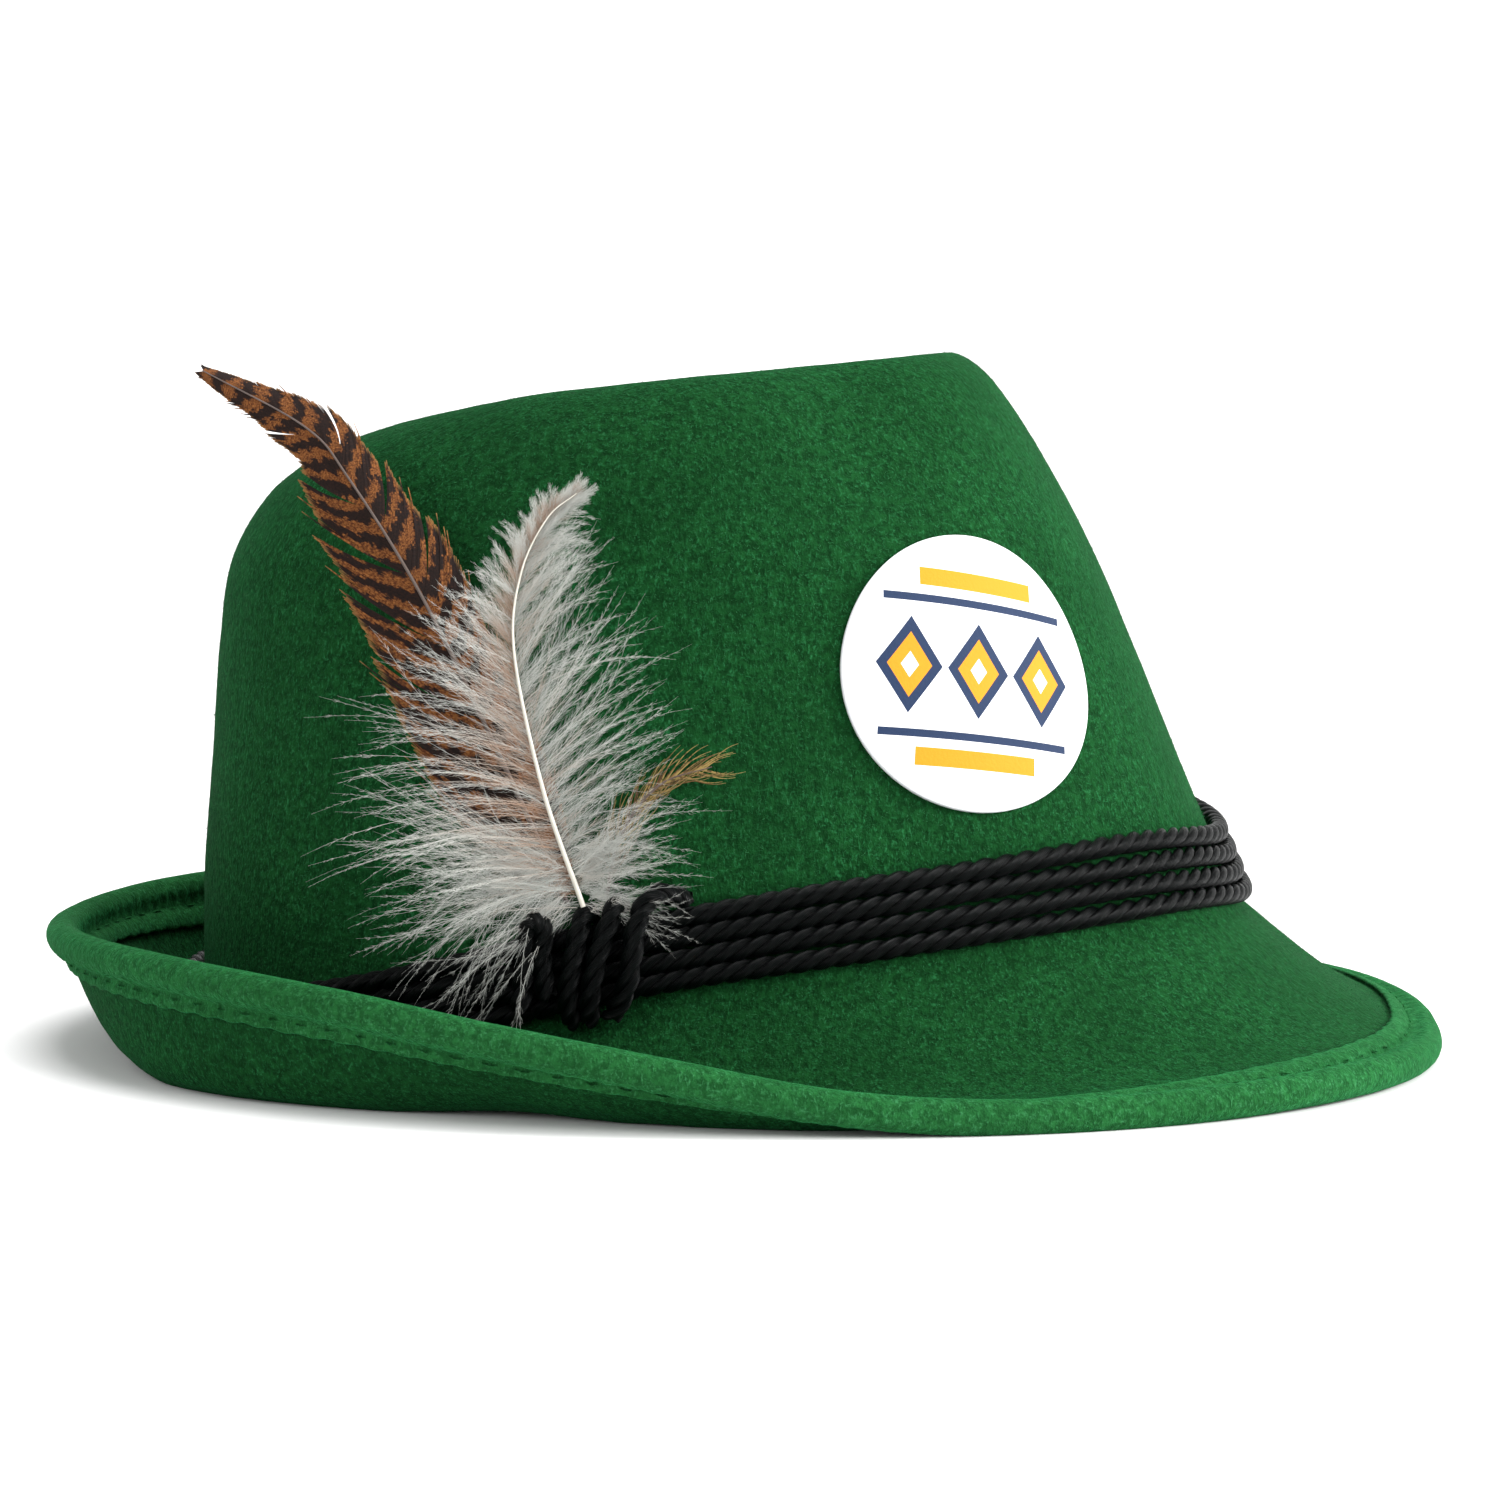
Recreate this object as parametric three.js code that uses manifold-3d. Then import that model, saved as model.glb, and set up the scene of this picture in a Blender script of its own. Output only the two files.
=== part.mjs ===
import * as THREE from 'three';
import Module from 'manifold-3d';
import { mergeVertices } from 'three/addons/utils/BufferGeometryUtils.js';

const wasm = await Module();
wasm.setup();

// A felt hat as it rests on a flat surface, in millimetres, +Z up and +X towards its front.
// The side that carries the feathers is -Y, which is the wearer's right.

// Felt and crown, measured outside the felt
const feltThickness = 2;
const crownLength = 206;
const crownWidth = 166;
const peakHeight = 137;
const crownSquareness = 2.2;

// The brim: how far its edge stands out from the fold at the foot of the crown, how high that fold
// and the turned up edge rise above the surface, and how round the fold is
const brimReachFront = 36;
const brimReachSide = 31.5;
const brimReachBack = 27;
const brimSquareness = 2.4;
const brimBackSquareness = 2;
const foldHeight = 31;
const turnUpHeight = 20;
const foldRound = 3;

// The dent along the top of the crown, and the finger pinches beside its front
const creaseDepth = 27;
const creaseLength = 87;
const creaseShift = -7;
const pinchDepth = 6;
const pinchAngle = 62;
const pinchSpread = 17;

// The rolled binding on the brim's edge
const beadDiameter = 6.4;
const beadOverhang = 1;
const bindingThickness = 1.2;
const flangeWidth = 7.5;

// The cord round the crown, and its wound end
const cordDiameter = 3.5;
const cordTurns = 4;
const cordSeat = 2.6;
const wrapTurns = 3;
const wrapAngle = -101.5;
const cordBends = 8;

// The space left between two pieces that lie against each other
const clearance = 0.34;

// The round patch
const patchDiameter = 52;
const patchThickness = 1.1;
const patchAngle = -49.5;
const patchLevel = 0.457;

// The feathers
const quillDiameter = 1.8;
const barredLength = 124;
const barredWidth = 20;
const plumeLength = 84;
const lockLength = 34;
const lockWidth = 6;
const locksPerSide = 6;
const hackleLength = 34;
const hackleWidth = 12;
const vaneThinness = 0.45;

// Where each feather stands round the crown, how far out from the wall, and how far below the top
// of the windings. These tops curve over, so a feather set further out stands lower.
const barredAngle = -103.5;
const hackleAngle = -98.8;
const plumeAngle = -101.2;
const featherLift = 2.2;
const plumeLift = 4.4;
const plumeDrop = 0.7;

const stations = 56;
const cordSides = 6;
const degree = Math.PI / 180;
const halfLength = crownLength / 2;
const halfWidth = crownWidth / 2;
const cordRadius = cordDiameter / 2;
const quillRadius = quillDiameter / 2;

// Crown sections from the fold up to the ridge. A level is a share of the height from fold to ridge;
// front, back and side are shares of the half length and half width at the fold.
const crownSections = [
  { level: 0.00, front: 1.000, back: 1.000, side: 1.000 },
  { level: 0.14, front: 0.938, back: 1.002, side: 0.985 },
  { level: 0.30, front: 0.868, back: 0.998, side: 0.960 },
  { level: 0.47, front: 0.792, back: 0.983, side: 0.925 },
  { level: 0.65, front: 0.712, back: 0.967, side: 0.878 },
  { level: 0.80, front: 0.624, back: 0.938, side: 0.820 },
  { level: 0.92, front: 0.542, back: 0.838, side: 0.740 },
  { level: 0.98, front: 0.491, back: 0.715, side: 0.665 },
  { level: 1.00, front: 0.446, back: 0.610, side: 0.600 },
];

// The crown's edge heights by the angle from the front, as shares of peakHeight and foldHeight.
const edgeTable = [
  { angle: 0, ridge: 1.000, fold: 0.88 },
  { angle: 30, ridge: 0.995, fold: 0.97 },
  { angle: 60, ridge: 0.982, fold: 0.84 },
  { angle: 90, ridge: 0.965, fold: 0.61 },
  { angle: 120, ridge: 0.945, fold: 0.28 },
  { angle: 150, ridge: 0.912, fold: 0.01 },
  { angle: 180, ridge: 0.885, fold: 0.00 },
];

// The brim by the same angle. It passes through a middle point, at a share of its reach and of
// foldHeight, and ends at the edge, at a share of turnUpHeight. Slopes are degrees above level.
const brimTable = [
  { angle: 0, leave: -38, middle: 0.50, height: 0.40, slope: -34, edge: 0.00, arrive: -24 },
  { angle: 30, leave: -46, middle: 0.52, height: 0.36, slope: -38, edge: 0.05, arrive: -18 },
  { angle: 60, leave: -56, middle: 0.62, height: 0.10, slope: -22, edge: 0.00, arrive: 2 },
  { angle: 75, leave: -60, middle: 0.76, height: -0.04, slope: 0, edge: 0.10, arrive: 30 },
  { angle: 90, leave: -60, middle: 0.58, height: -0.04, slope: 0, edge: 0.40, arrive: 48 },
  { angle: 105, leave: -54, middle: 0.51, height: 0.02, slope: 4, edge: 0.68, arrive: 58 },
  { angle: 120, leave: -38, middle: 0.62, height: -0.02, slope: 4, edge: 0.92, arrive: 66 },
  { angle: 140, leave: -16, middle: 0.76, height: -0.04, slope: 10, edge: 1.05, arrive: 70 },
  { angle: 160, leave: 2, middle: 0.62, height: 0.07, slope: 22, edge: 1.06, arrive: 60 },
  { angle: 180, leave: 8, middle: 0.56, height: 0.17, slope: 30, edge: 1.03, arrive: 50 },
];

// Reads a column of a table at a value of its key column, on a smooth curve through the rows. A
// mirrored table has level ends, because it goes on as its own reflection.
function readTable(rows, key, value, column, mirrored = false) {
  const last = rows.length - 1;
  const slopeAt = (j) => {
    if (mirrored && (j === 0 || j === last)) return 0;
    const before = rows[Math.max(j - 1, 0)];
    const after = rows[Math.min(j + 1, last)];
    return (after[column] - before[column]) / (after[key] - before[key]);
  };
  let i = 0;
  while (i < last - 1 && value > rows[i + 1][key]) i += 1;
  const gap = rows[i + 1][key] - rows[i][key];
  const t = (value - rows[i][key]) / gap;
  const smooth = t * t * (3 - 2 * t);
  const bend = t * (1 - t) * gap * (slopeAt(i) * (1 - t) - slopeAt(i + 1) * t);
  return rows[i][column] + (rows[i + 1][column] - rows[i][column]) * smooth + bend;
}

// Reads an angle table, which is the same on both sides of the hat.
function around(rows, angle, column) {
  const fromFront = Math.abs(Math.atan2(Math.sin(angle), Math.cos(angle))) / degree;
  return readTable(rows, 'angle', fromFront, column, true);
}

// Radius of a rounded oval at an angle, with its own half length in front, behind and beside.
function ovalRadius(angle, front, back, side, squareness) {
  const along = Math.abs(Math.cos(angle)) / (Math.cos(angle) > 0 ? front : back);
  const across = Math.abs(Math.sin(angle)) / side;
  return (along ** squareness + across ** squareness) ** (-1 / squareness);
}

function atRadius(angle, radius, z) {
  return new THREE.Vector3(radius * Math.cos(angle), radius * Math.sin(angle), z);
}

function foldZ(angle) {
  return feltThickness + around(edgeTable, angle, 'fold') * (foldHeight - feltThickness);
}

function ridgeZ(angle) {
  return peakHeight * around(edgeTable, angle, 'ridge');
}

// A point on the outside of the crown's wall, from the fold at level 0 to the ridge at level 1.
function wallPoint(angle, level) {
  const share = (column) => readTable(crownSections, 'level', level, column);
  const front = halfLength * share('front');
  const back = halfLength * share('back');
  const radius = ovalRadius(angle, front, back, halfWidth * share('side'), crownSquareness);
  const away = (Math.abs(angle) / degree - pinchAngle) / pinchSpread;
  const pinch = pinchDepth * THREE.MathUtils.smoothstep(level, 0.55, 1) * Math.exp(-away * away);
  const z = THREE.MathUtils.lerp(foldZ(angle), ridgeZ(angle), level);
  return atRadius(angle, radius - pinch, z);
}

// The wall's outward normal, from two short steps along it.
function wallNormal(angle, level) {
  const step = 0.01;
  const under = Math.min(level, 1 - step);
  const beside = wallPoint(angle + step, level).sub(wallPoint(angle, level));
  const above = wallPoint(angle, under + step).sub(wallPoint(angle, under));
  return beside.cross(above).normalize();
}

// A point at a height above the fold, measured up the wall, lifted off the felt.
function offWall(angle, rise, lift) {
  const level = rise / (ridgeZ(angle) - foldZ(angle));
  return wallPoint(angle, level).addScaledVector(wallNormal(angle, level), lift);
}

// A point on the top of the crown, from the ridge at share 0 to the bottom of the crease at 1.
function topPoint(angle, share) {
  const ridge = wallPoint(angle, 1);
  const x = creaseShift + creaseLength * (0.5 - Math.abs(angle) / Math.PI);
  const deep = creaseDepth * (0.45 + 0.55 * Math.sin(angle) ** 2);
  const fall = (1 - Math.cos(Math.PI * share)) / 2;
  return new THREE.Vector3(
    THREE.MathUtils.lerp(ridge.x, x, share),
    THREE.MathUtils.lerp(ridge.y, 0, share),
    ridge.z - deep * THREE.MathUtils.lerp(share, fall, 0.8),
  );
}

// A smooth curve between two points with the directions at its ends, in an upright plane.
function bendBetween(from, to, slopeFrom, slopeTo, t) {
  const arm = Math.hypot(to.out - from.out, to.z - from.z) / 3;
  const weights = [(1 - t) ** 3, 3 * t * (1 - t) ** 2, 3 * t * t * (1 - t), t ** 3];
  const outs = [from.out, from.out + arm * Math.cos(slopeFrom), to.out - arm * Math.cos(slopeTo), to.out];
  const zs = [from.z, from.z + arm * Math.sin(slopeFrom), to.z - arm * Math.sin(slopeTo), to.z];
  const blend = (values) => values.reduce((sum, value, k) => sum + value * weights[k], 0);
  return { out: blend(outs), z: blend(zs) };
}

// A point on the brim's upper face, from the fold at share 0 to the felt's edge at 1. The felt lies
// flat where it would reach below the surface.
function brimPoint(angle, share) {
  const column = (name) => around(brimTable, angle, name);
  const foldRadius = ovalRadius(angle, halfLength, halfLength, halfWidth, crownSquareness);
  const edgeRadius = ovalRadius(
    angle,
    halfLength + brimReachFront,
    halfLength + brimReachBack,
    halfWidth + brimReachSide,
    Math.cos(angle) > 0 ? brimSquareness : brimBackSquareness,
  );
  const restZ = beadDiameter / 2 - clearance;
  const edgeZ = restZ + column('edge') * (turnUpHeight - restZ) + feltThickness / 2;
  const middleRadius = THREE.MathUtils.lerp(foldRadius, edgeRadius, column('middle'));
  const middleZ = feltThickness + column('height') * (foldHeight - feltThickness);
  const fold = { out: foldRadius, z: foldZ(angle) };
  const middle = { out: middleRadius, z: middleZ };
  const edge = { out: edgeRadius, z: edgeZ };
  const [leave, slope, arrive] = ['leave', 'slope', 'arrive'].map((name) => column(name) * degree);
  const place = share < 0.5
    ? bendBetween(fold, middle, leave, slope, share * 2)
    : bendBetween(middle, edge, slope, arrive, share * 2 - 1);
  return atRadius(angle, place.out, Math.max(place.z, feltThickness));
}

// The way along the brim from fold to edge at the side, with its dip.
const brimSlant = brimReachSide * 1.3;

// The fold's rounded corner, from the wall at share 0 to the brim at 1.
function cornerPoint(angle, share) {
  const wallEnd = offWall(angle, foldRound, 0);
  const corner = wallPoint(angle, 0);
  const brimEnd = brimPoint(angle, foldRound / brimSlant);
  return wallEnd.multiplyScalar((1 - share) ** 2)
    .addScaledVector(corner, 2 * share * (1 - share))
    .addScaledVector(brimEnd, share * share);
}

// The felt's outer face as rows of points, from the crease out to the brim's edge.
const topShares = [1, 0.75, 0.5, 0.28, 0.1];
const wallLevels = [1, 0.97, 0.91, 0.8, 0.63, 0.4, 0.18];
const flangeShare = flangeWidth / brimSlant;
const brimSteps = 6;
const brimShares = Array.from({ length: brimSteps }, (_, k) => (
  THREE.MathUtils.lerp(2 * foldRound / brimSlant, 1 - flangeShare, (k + 0.5) / (brimSteps - 0.5))
));
brimShares.push(1 - flangeShare / 2, 1);

function outerRow(angle) {
  return [
    ...topShares.map((share) => topPoint(angle, share)),
    ...wallLevels.map((level) => wallPoint(angle, level)),
    ...[0, 0.5, 1].map((share) => cornerPoint(angle, share)),
    ...brimShares.map((share) => brimPoint(angle, share)),
  ];
}

function stationAngle(i) {
  const turned = (i * 2 * Math.PI) / stations;
  return turned > Math.PI + 1e-9 ? turned - 2 * Math.PI : turned;
}

// Normals of a grid of rows, one row per station round the hat.
function gridNormal(rows, i, j) {
  const before = rows[(i + stations - 1) % stations][j];
  const after = rows[(i + 1) % stations][j];
  const last = rows[i].length - 1;
  const down = rows[i][Math.min(j + 1, last)].clone().sub(rows[i][Math.max(j - 1, 0)]);
  return down.cross(after.clone().sub(before)).normalize();
}

// Six times the volume inside a closed skin, negative when its faces point inwards.
function skinVolume(positions, triangles) {
  const corner = (k) => new THREE.Vector3().fromArray(positions, triangles[k] * 3);
  let volume = 0;
  for (let k = 0; k < triangles.length; k += 3) {
    volume += corner(k).dot(corner(k + 1).cross(corner(k + 2)));
  }
  return volume;
}

// A closed mesh with its faces pointing out and its shared points merged.
function meshOf(positions, triangles) {
  const inward = skinVolume(positions, triangles) < 0;
  const geometry = new THREE.BufferGeometry();
  geometry.setAttribute('position', new THREE.Float32BufferAttribute(positions, 3));
  geometry.setIndex(inward ? triangles.slice().reverse() : triangles);
  return mergeVertices(geometry, 1e-3);
}

// Joins closed or open rings of points into a skin. Every ring has the same number of points.
function skinTriangles(rings, size, closed) {
  const triangles = [];
  const spans = closed ? rings : rings - 1;
  for (let i = 0; i < spans; i += 1) {
    const a = i * size;
    const b = ((i + 1) % rings) * size;
    for (let j = 0; j < size; j += 1) {
      const next = (j + 1) % size;
      triangles.push(a + j, b + next, b + j);
      triangles.push(a + j, a + next, b + next);
    }
  }
  return triangles;
}

// A closed loop of sections, such as a ring round the hat.
function ringSolid(sections) {
  const positions = sections.flat().flatMap((point) => point.toArray());
  return meshOf(positions, skinTriangles(sections.length, sections[0].length, true));
}

// A run of sections with flat ends.
function loftSolid(sections) {
  const size = sections[0].length;
  const positions = sections.flat().flatMap((point) => point.toArray());
  const triangles = skinTriangles(sections.length, size, false);
  const end = (sections.length - 1) * size;
  for (let j = 1; j < size - 1; j += 1) {
    triangles.push(0, j + 1, j);
    triangles.push(end, end + j, end + j + 1);
  }
  return meshOf(positions, triangles);
}

const feltRows = Array.from({ length: stations }, (_, i) => outerRow(stationAngle(i)));
const feltNormals = feltRows.map((row, i) => row.map((point, j) => (
  j === 0 ? new THREE.Vector3(0, 0, 1) : gridNormal(feltRows, i, j)
)));

// A point a distance off the felt's outer face, and never below the surface that the hat rests on.
// Where the brim lies on that surface, its underside is flat.
function offFelt(i, j, distance) {
  const point = feltRows[i][j].clone().addScaledVector(feltNormals[i][j], distance);
  const lying = feltRows[i][j].z <= feltThickness && distance <= -feltThickness;
  point.z = lying ? 0 : Math.max(point.z, 0);
  return point;
}

function feltBody() {
  const size = feltRows[0].length;
  // Each section runs out along the outer face and back along the inner one.
  const sections = feltRows.map((row, i) => {
    const inner = row.map((point, j) => offFelt(i, j, -feltThickness));
    return [...row, ...inner.reverse()];
  });
  const positions = sections.flat().flatMap((point) => point.toArray());
  const triangles = skinTriangles(stations, size * 2, true);
  // The two faces meet at the crease, so the strip between their first rows is left out.
  const isCrease = (corner) => corner % (size * 2) === 0 || corner % (size * 2) === size * 2 - 1;
  const kept = [];
  for (let k = 0; k < triangles.length; k += 3) {
    const corners = triangles.slice(k, k + 3);
    if (!corners.every(isCrease)) kept.push(...corners);
  }
  return meshOf(positions, kept);
}

// The binding: a thin flange on both faces of the felt and a round bead past its edge.
function brimBinding() {
  const beadRadius = beadDiameter / 2;
  const face = clearance + bindingThickness;
  const neck = Math.asin(Math.min((feltThickness / 2 + face) / beadRadius, 0.95));
  const beadSteps = 6;
  const edge = feltRows[0].length - 1;
  const sections = feltRows.map((row, i) => {
    const normal = feltNormals[i][edge];
    const out = row[edge].clone().sub(row[edge - 1]).normalize();
    const middle = row[edge].clone().addScaledVector(normal, -feltThickness / 2);
    const past = (along, across) => {
      const point = middle.clone().addScaledVector(out, along).addScaledVector(normal, across);
      point.z = Math.max(point.z, 0);
      return point;
    };
    const section = [offFelt(i, edge - 2, face - clearance), offFelt(i, edge - 1, face)];
    for (let k = 0; k <= beadSteps; k += 1) {
      const turn = (Math.PI - neck) * (1 - (2 * k) / beadSteps);
      section.push(past(beadOverhang + beadRadius * Math.cos(turn), beadRadius * Math.sin(turn)));
    }
    section.push(
      offFelt(i, edge - 1, -feltThickness - face),
      offFelt(i, edge - 2, clearance - feltThickness - face),
      offFelt(i, edge - 2, -feltThickness - clearance),
      offFelt(i, edge - 1, -feltThickness - clearance),
      past(clearance, -feltThickness / 2 - clearance),
      past(clearance, feltThickness / 2 + clearance),
      offFelt(i, edge - 1, clearance),
      offFelt(i, edge - 2, clearance),
    );
    return section;
  });
  return ringSolid(sections);
}

// A round section of a tube, in the plane of two directions.
function roundSection(centre, first, second, radius, sides) {
  const points = [];
  for (let k = 0; k < sides; k += 1) {
    const turn = (k * 2 * Math.PI) / sides;
    points.push(centre.clone()
      .addScaledVector(first, radius * Math.cos(turn))
      .addScaledVector(second, radius * Math.sin(turn)));
  }
  return points;
}

function cordRise(turn) {
  return cordSeat + turn * (cordDiameter + clearance);
}

// One turn of cord round the foot of the crown.
function cordTurn(turn) {
  const lift = cordRadius + clearance;
  const sections = [];
  for (let i = 0; i < stations; i += 1) {
    const angle = stationAngle(i);
    const centre = offWall(angle, cordRise(turn), lift);
    const normal = wallNormal(angle, cordRise(turn) / (ridgeZ(angle) - foldZ(angle)));
    const upward = offWall(angle, cordRise(turn) + 1, lift).sub(centre).normalize();
    sections.push(roundSection(centre, normal, upward, cordRadius, cordSides));
  }
  return ringSolid(sections);
}

// A length of cord through points, with its rings square to the path. The direction along is one
// that the path never runs in.
function cordThrough(points, along, bends) {
  const path = new THREE.CatmullRomCurve3(points, false, 'centripetal');
  const sections = [];
  for (let k = 0; k <= bends; k += 1) {
    const tangent = path.getTangentAt(k / bends);
    const outward = tangent.clone().cross(along).normalize();
    const flat = outward.clone().cross(tangent).normalize();
    sections.push(roundSection(path.getPointAt(k / bends), outward, flat, cordRadius, cordSides));
  }
  return loftSolid(sections);
}

const bandTop = cordRise(cordTurns - 1) + cordRadius;
const wrapLift = 3 * cordRadius + 2 * clearance;
const wrapTopRise = bandTop + clearance + cordRadius;
const wrapSpacing = (cordDiameter + 2 * clearance) / halfWidth;

// One winding of the cord's end over the turns, from above the top turn to below the lowest.
function cordWrap(turn) {
  const angle = wrapAngle * degree + ((wrapTurns - 1) / 2 - turn) * wrapSpacing;
  const inner = cordRadius + clearance;
  const between = (inner + wrapLift) / 2 + clearance;
  const route = [
    { rise: wrapTopRise, lift: inner },
    { rise: wrapTopRise - clearance, lift: between },
    { rise: bandTop - cordRadius / 2, lift: wrapLift },
    { rise: bandTop / 2, lift: wrapLift },
    { rise: cordSeat, lift: wrapLift },
    { rise: -cordRadius / 2, lift: between },
  ];
  const points = route.map(({ rise, lift }) => offWall(angle, Math.max(rise, 0), lift)
    .add(new THREE.Vector3(0, 0, Math.min(rise, 0))));
  const roundTheCrown = wallPoint(angle + wrapSpacing, 0).sub(wallPoint(angle - wrapSpacing, 0));
  return cordThrough(points, roundTheCrown.normalize(), cordBends);
}

// The cord's free end, a short stub that lies on the turns beside the windings.
function cordEnd() {
  const angle = wrapAngle * degree - ((wrapTurns + 1) / 2) * wrapSpacing;
  const route = [
    { turn: 0, rise: cordRise(1) },
    { turn: 0, rise: cordRise(2) },
    { turn: 0.6, rise: cordRise(3) },
    { turn: 1.3, rise: bandTop },
  ];
  const points = route.map(({ turn, rise }) => offWall(angle - turn * wrapSpacing, rise, wrapLift));
  const roundTheCrown = wallPoint(angle + wrapSpacing, 0).sub(wallPoint(angle - wrapSpacing, 0));
  return cordThrough(points, roundTheCrown.normalize(), cordBends);
}

// Feather routes, by shares of the feather's own length: back towards -X, up, and in towards +Y.
const barredRoute = [
  { back: 0.000, up: 0.000, inward: 0.000 },
  { back: 0.108, up: 0.225, inward: 0.030 },
  { back: 0.228, up: 0.450, inward: 0.080 },
  { back: 0.342, up: 0.620, inward: 0.120 },
  { back: 0.410, up: 0.695, inward: 0.138 },
  { back: 0.569, up: 0.779, inward: 0.160 },
];
const plumeRoute = [
  { back: 0.000, up: 0.000, inward: 0.000 },
  { back: 0.087, up: 0.250, inward: 0.010 },
  { back: 0.152, up: 0.541, inward: 0.040 },
  { back: 0.141, up: 0.708, inward: 0.070 },
  { back: 0.082, up: 0.842, inward: 0.100 },
  { back: 0.004, up: 0.912, inward: 0.120 },
];
const hackleRoute = [
  { back: 0.000, up: 0.000, inward: 0.000 },
  { back: -0.080, up: 0.340, inward: 0.035 },
  { back: -0.280, up: 0.600, inward: 0.070 },
  { back: -0.560, up: 0.700, inward: 0.085 },
];

// Width of a vane along the shaft, as a share of its full width.
const vaneTable = [
  { along: 0.00, width: 0.10 },
  { along: 0.10, width: 0.30 },
  { along: 0.25, width: 0.85 },
  { along: 0.50, width: 1.00 },
  { along: 0.75, width: 0.84 },
  { along: 0.92, width: 0.46 },
  { along: 1.00, width: 0.08 },
];

// Where a feather stands on the windings.
function featherBase(angle, lift, drop) {
  return offWall(angle * degree, wrapTopRise + cordRadius + clearance - drop, lift);
}

function featherPath(base, route, length) {
  const points = route.map(({ back, up, inward }) => (
    new THREE.Vector3(-back, inward, up).multiplyScalar(length).add(base)
  ));
  return new THREE.CatmullRomCurve3(points, false, 'centripetal');
}

// The directions at a place on a feather: along the shaft, across the vane, and off its face.
function featherFrame(path, share) {
  const tangent = path.getTangentAt(share);
  const facing = new THREE.Vector3(0, -1, 0.25);
  const across = tangent.clone().cross(facing).normalize();
  return { place: path.getPointAt(share), tangent, across, face: across.clone().cross(tangent) };
}

// A flat feather: a thin vane with the quill as a rib along its middle.
function flatFeather(path, width, steps) {
  const sections = [];
  for (let k = 0; k <= steps; k += 1) {
    const share = k / steps;
    const { place, across, face } = featherFrame(path, share);
    const half = (width / 2) * readTable(vaneTable, 'along', share, 'width');
    const rib = Math.min(quillRadius, half / 2);
    const thin = rib * vaneThinness;
    const outline = [
      [-half, 0], [-rib, -thin], [0, -thin], [rib, -thin],
      [half, 0], [rib, thin], [0, rib], [-rib, thin],
    ];
    sections.push(outline.map(([sideways, off]) => (
      place.clone().addScaledVector(across, sideways).addScaledVector(face, off)
    )));
  }
  return loftSolid(sections);
}

function solidOf(geometry) {
  const vertProperties = new Float32Array(geometry.attributes.position.array);
  const triVerts = new Uint32Array(geometry.index.array);
  return new wasm.Manifold(new wasm.Mesh({ numProp: 3, vertProperties, triVerts }));
}

function geometryOf(solid) {
  const mesh = solid.getMesh();
  return meshOf(Array.from(mesh.vertProperties), Array.from(mesh.triVerts));
}

// A lock's middle line, by shares of its own length: across the quill, along it and off its face.
const lockRoute = [
  { sideways: 0.00, along: 0.00, off: 0.00 },
  { sideways: 0.35, along: 0.16, off: 0.03 },
  { sideways: 0.70, along: 0.42, off: 0.05 },
  { sideways: 0.90, along: 0.80, off: 0.02 },
];

// Half width of a lock along that line, as a share of lockWidth.
const lockTable = [
  { along: 0.00, half: 0.23 },
  { along: 0.33, half: 0.45 },
  { along: 0.67, half: 0.36 },
  { along: 1.00, half: 0.06 },
];
const lockThinness = 0.35;

// Length of the locks by their place on the quill, as a share of lockLength.
const lockLengths = [
  { along: 0.00, length: 0.75 },
  { along: 0.35, length: 1.00 },
  { along: 0.70, length: 0.75 },
  { along: 1.00, length: 0.55 },
];

// One lock of down: a flattened tapering tongue that leaves the quill and curls upward.
function downLock(path, share, side) {
  const { place, tangent, across, face } = featherFrame(path, share);
  const length = lockLength * readTable(lockLengths, 'along', share, 'length');
  const start = place.clone().addScaledVector(across, (-side * quillRadius) / 2);
  const points = lockRoute.map(({ sideways, along, off }) => start.clone()
    .addScaledVector(across, side * sideways * length)
    .addScaledVector(tangent, along * length)
    .addScaledVector(face, off * length));
  const lock = new THREE.CatmullRomCurve3(points, false, 'centripetal');
  const sections = lockTable.map(({ along, half }) => {
    const wide = lock.getTangentAt(along).cross(face).normalize().multiplyScalar(half * lockWidth);
    const thick = face.clone().multiplyScalar(half * lockWidth * lockThinness);
    const centre = lock.getPointAt(along);
    return [
      centre.clone().sub(wide),
      centre.clone().sub(thick),
      centre.clone().add(wide),
      centre.clone().add(thick),
    ];
  });
  return solidOf(loftSolid(sections));
}

// The quill's thickness at its two ends, as shares of quillDiameter, and the part of its length
// that carries locks.
const quillEnds = { foot: 1.15, tip: 0.45 };
const lockSpan = { from: 0.14, to: 0.96 };
const quillBends = 12;

function plume(base) {
  const path = featherPath(base, plumeRoute, plumeLength);
  const sections = [];
  for (let k = 0; k <= quillBends; k += 1) {
    const { place, across, face } = featherFrame(path, k / quillBends);
    const radius = quillRadius * THREE.MathUtils.lerp(quillEnds.foot, quillEnds.tip, k / quillBends);
    sections.push(roundSection(place, across, face, radius, cordSides));
  }
  let solid = solidOf(loftSolid(sections));
  for (let k = 0; k < locksPerSide; k += 1) {
    for (const side of [-1, 1]) {
      const step = (k + (side > 0 ? 0.5 : 0)) / locksPerSide;
      const share = THREE.MathUtils.lerp(lockSpan.from, lockSpan.to, step);
      solid = solid.add(downLock(path, share, side));
    }
  }
  return geometryOf(solid);
}

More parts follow.
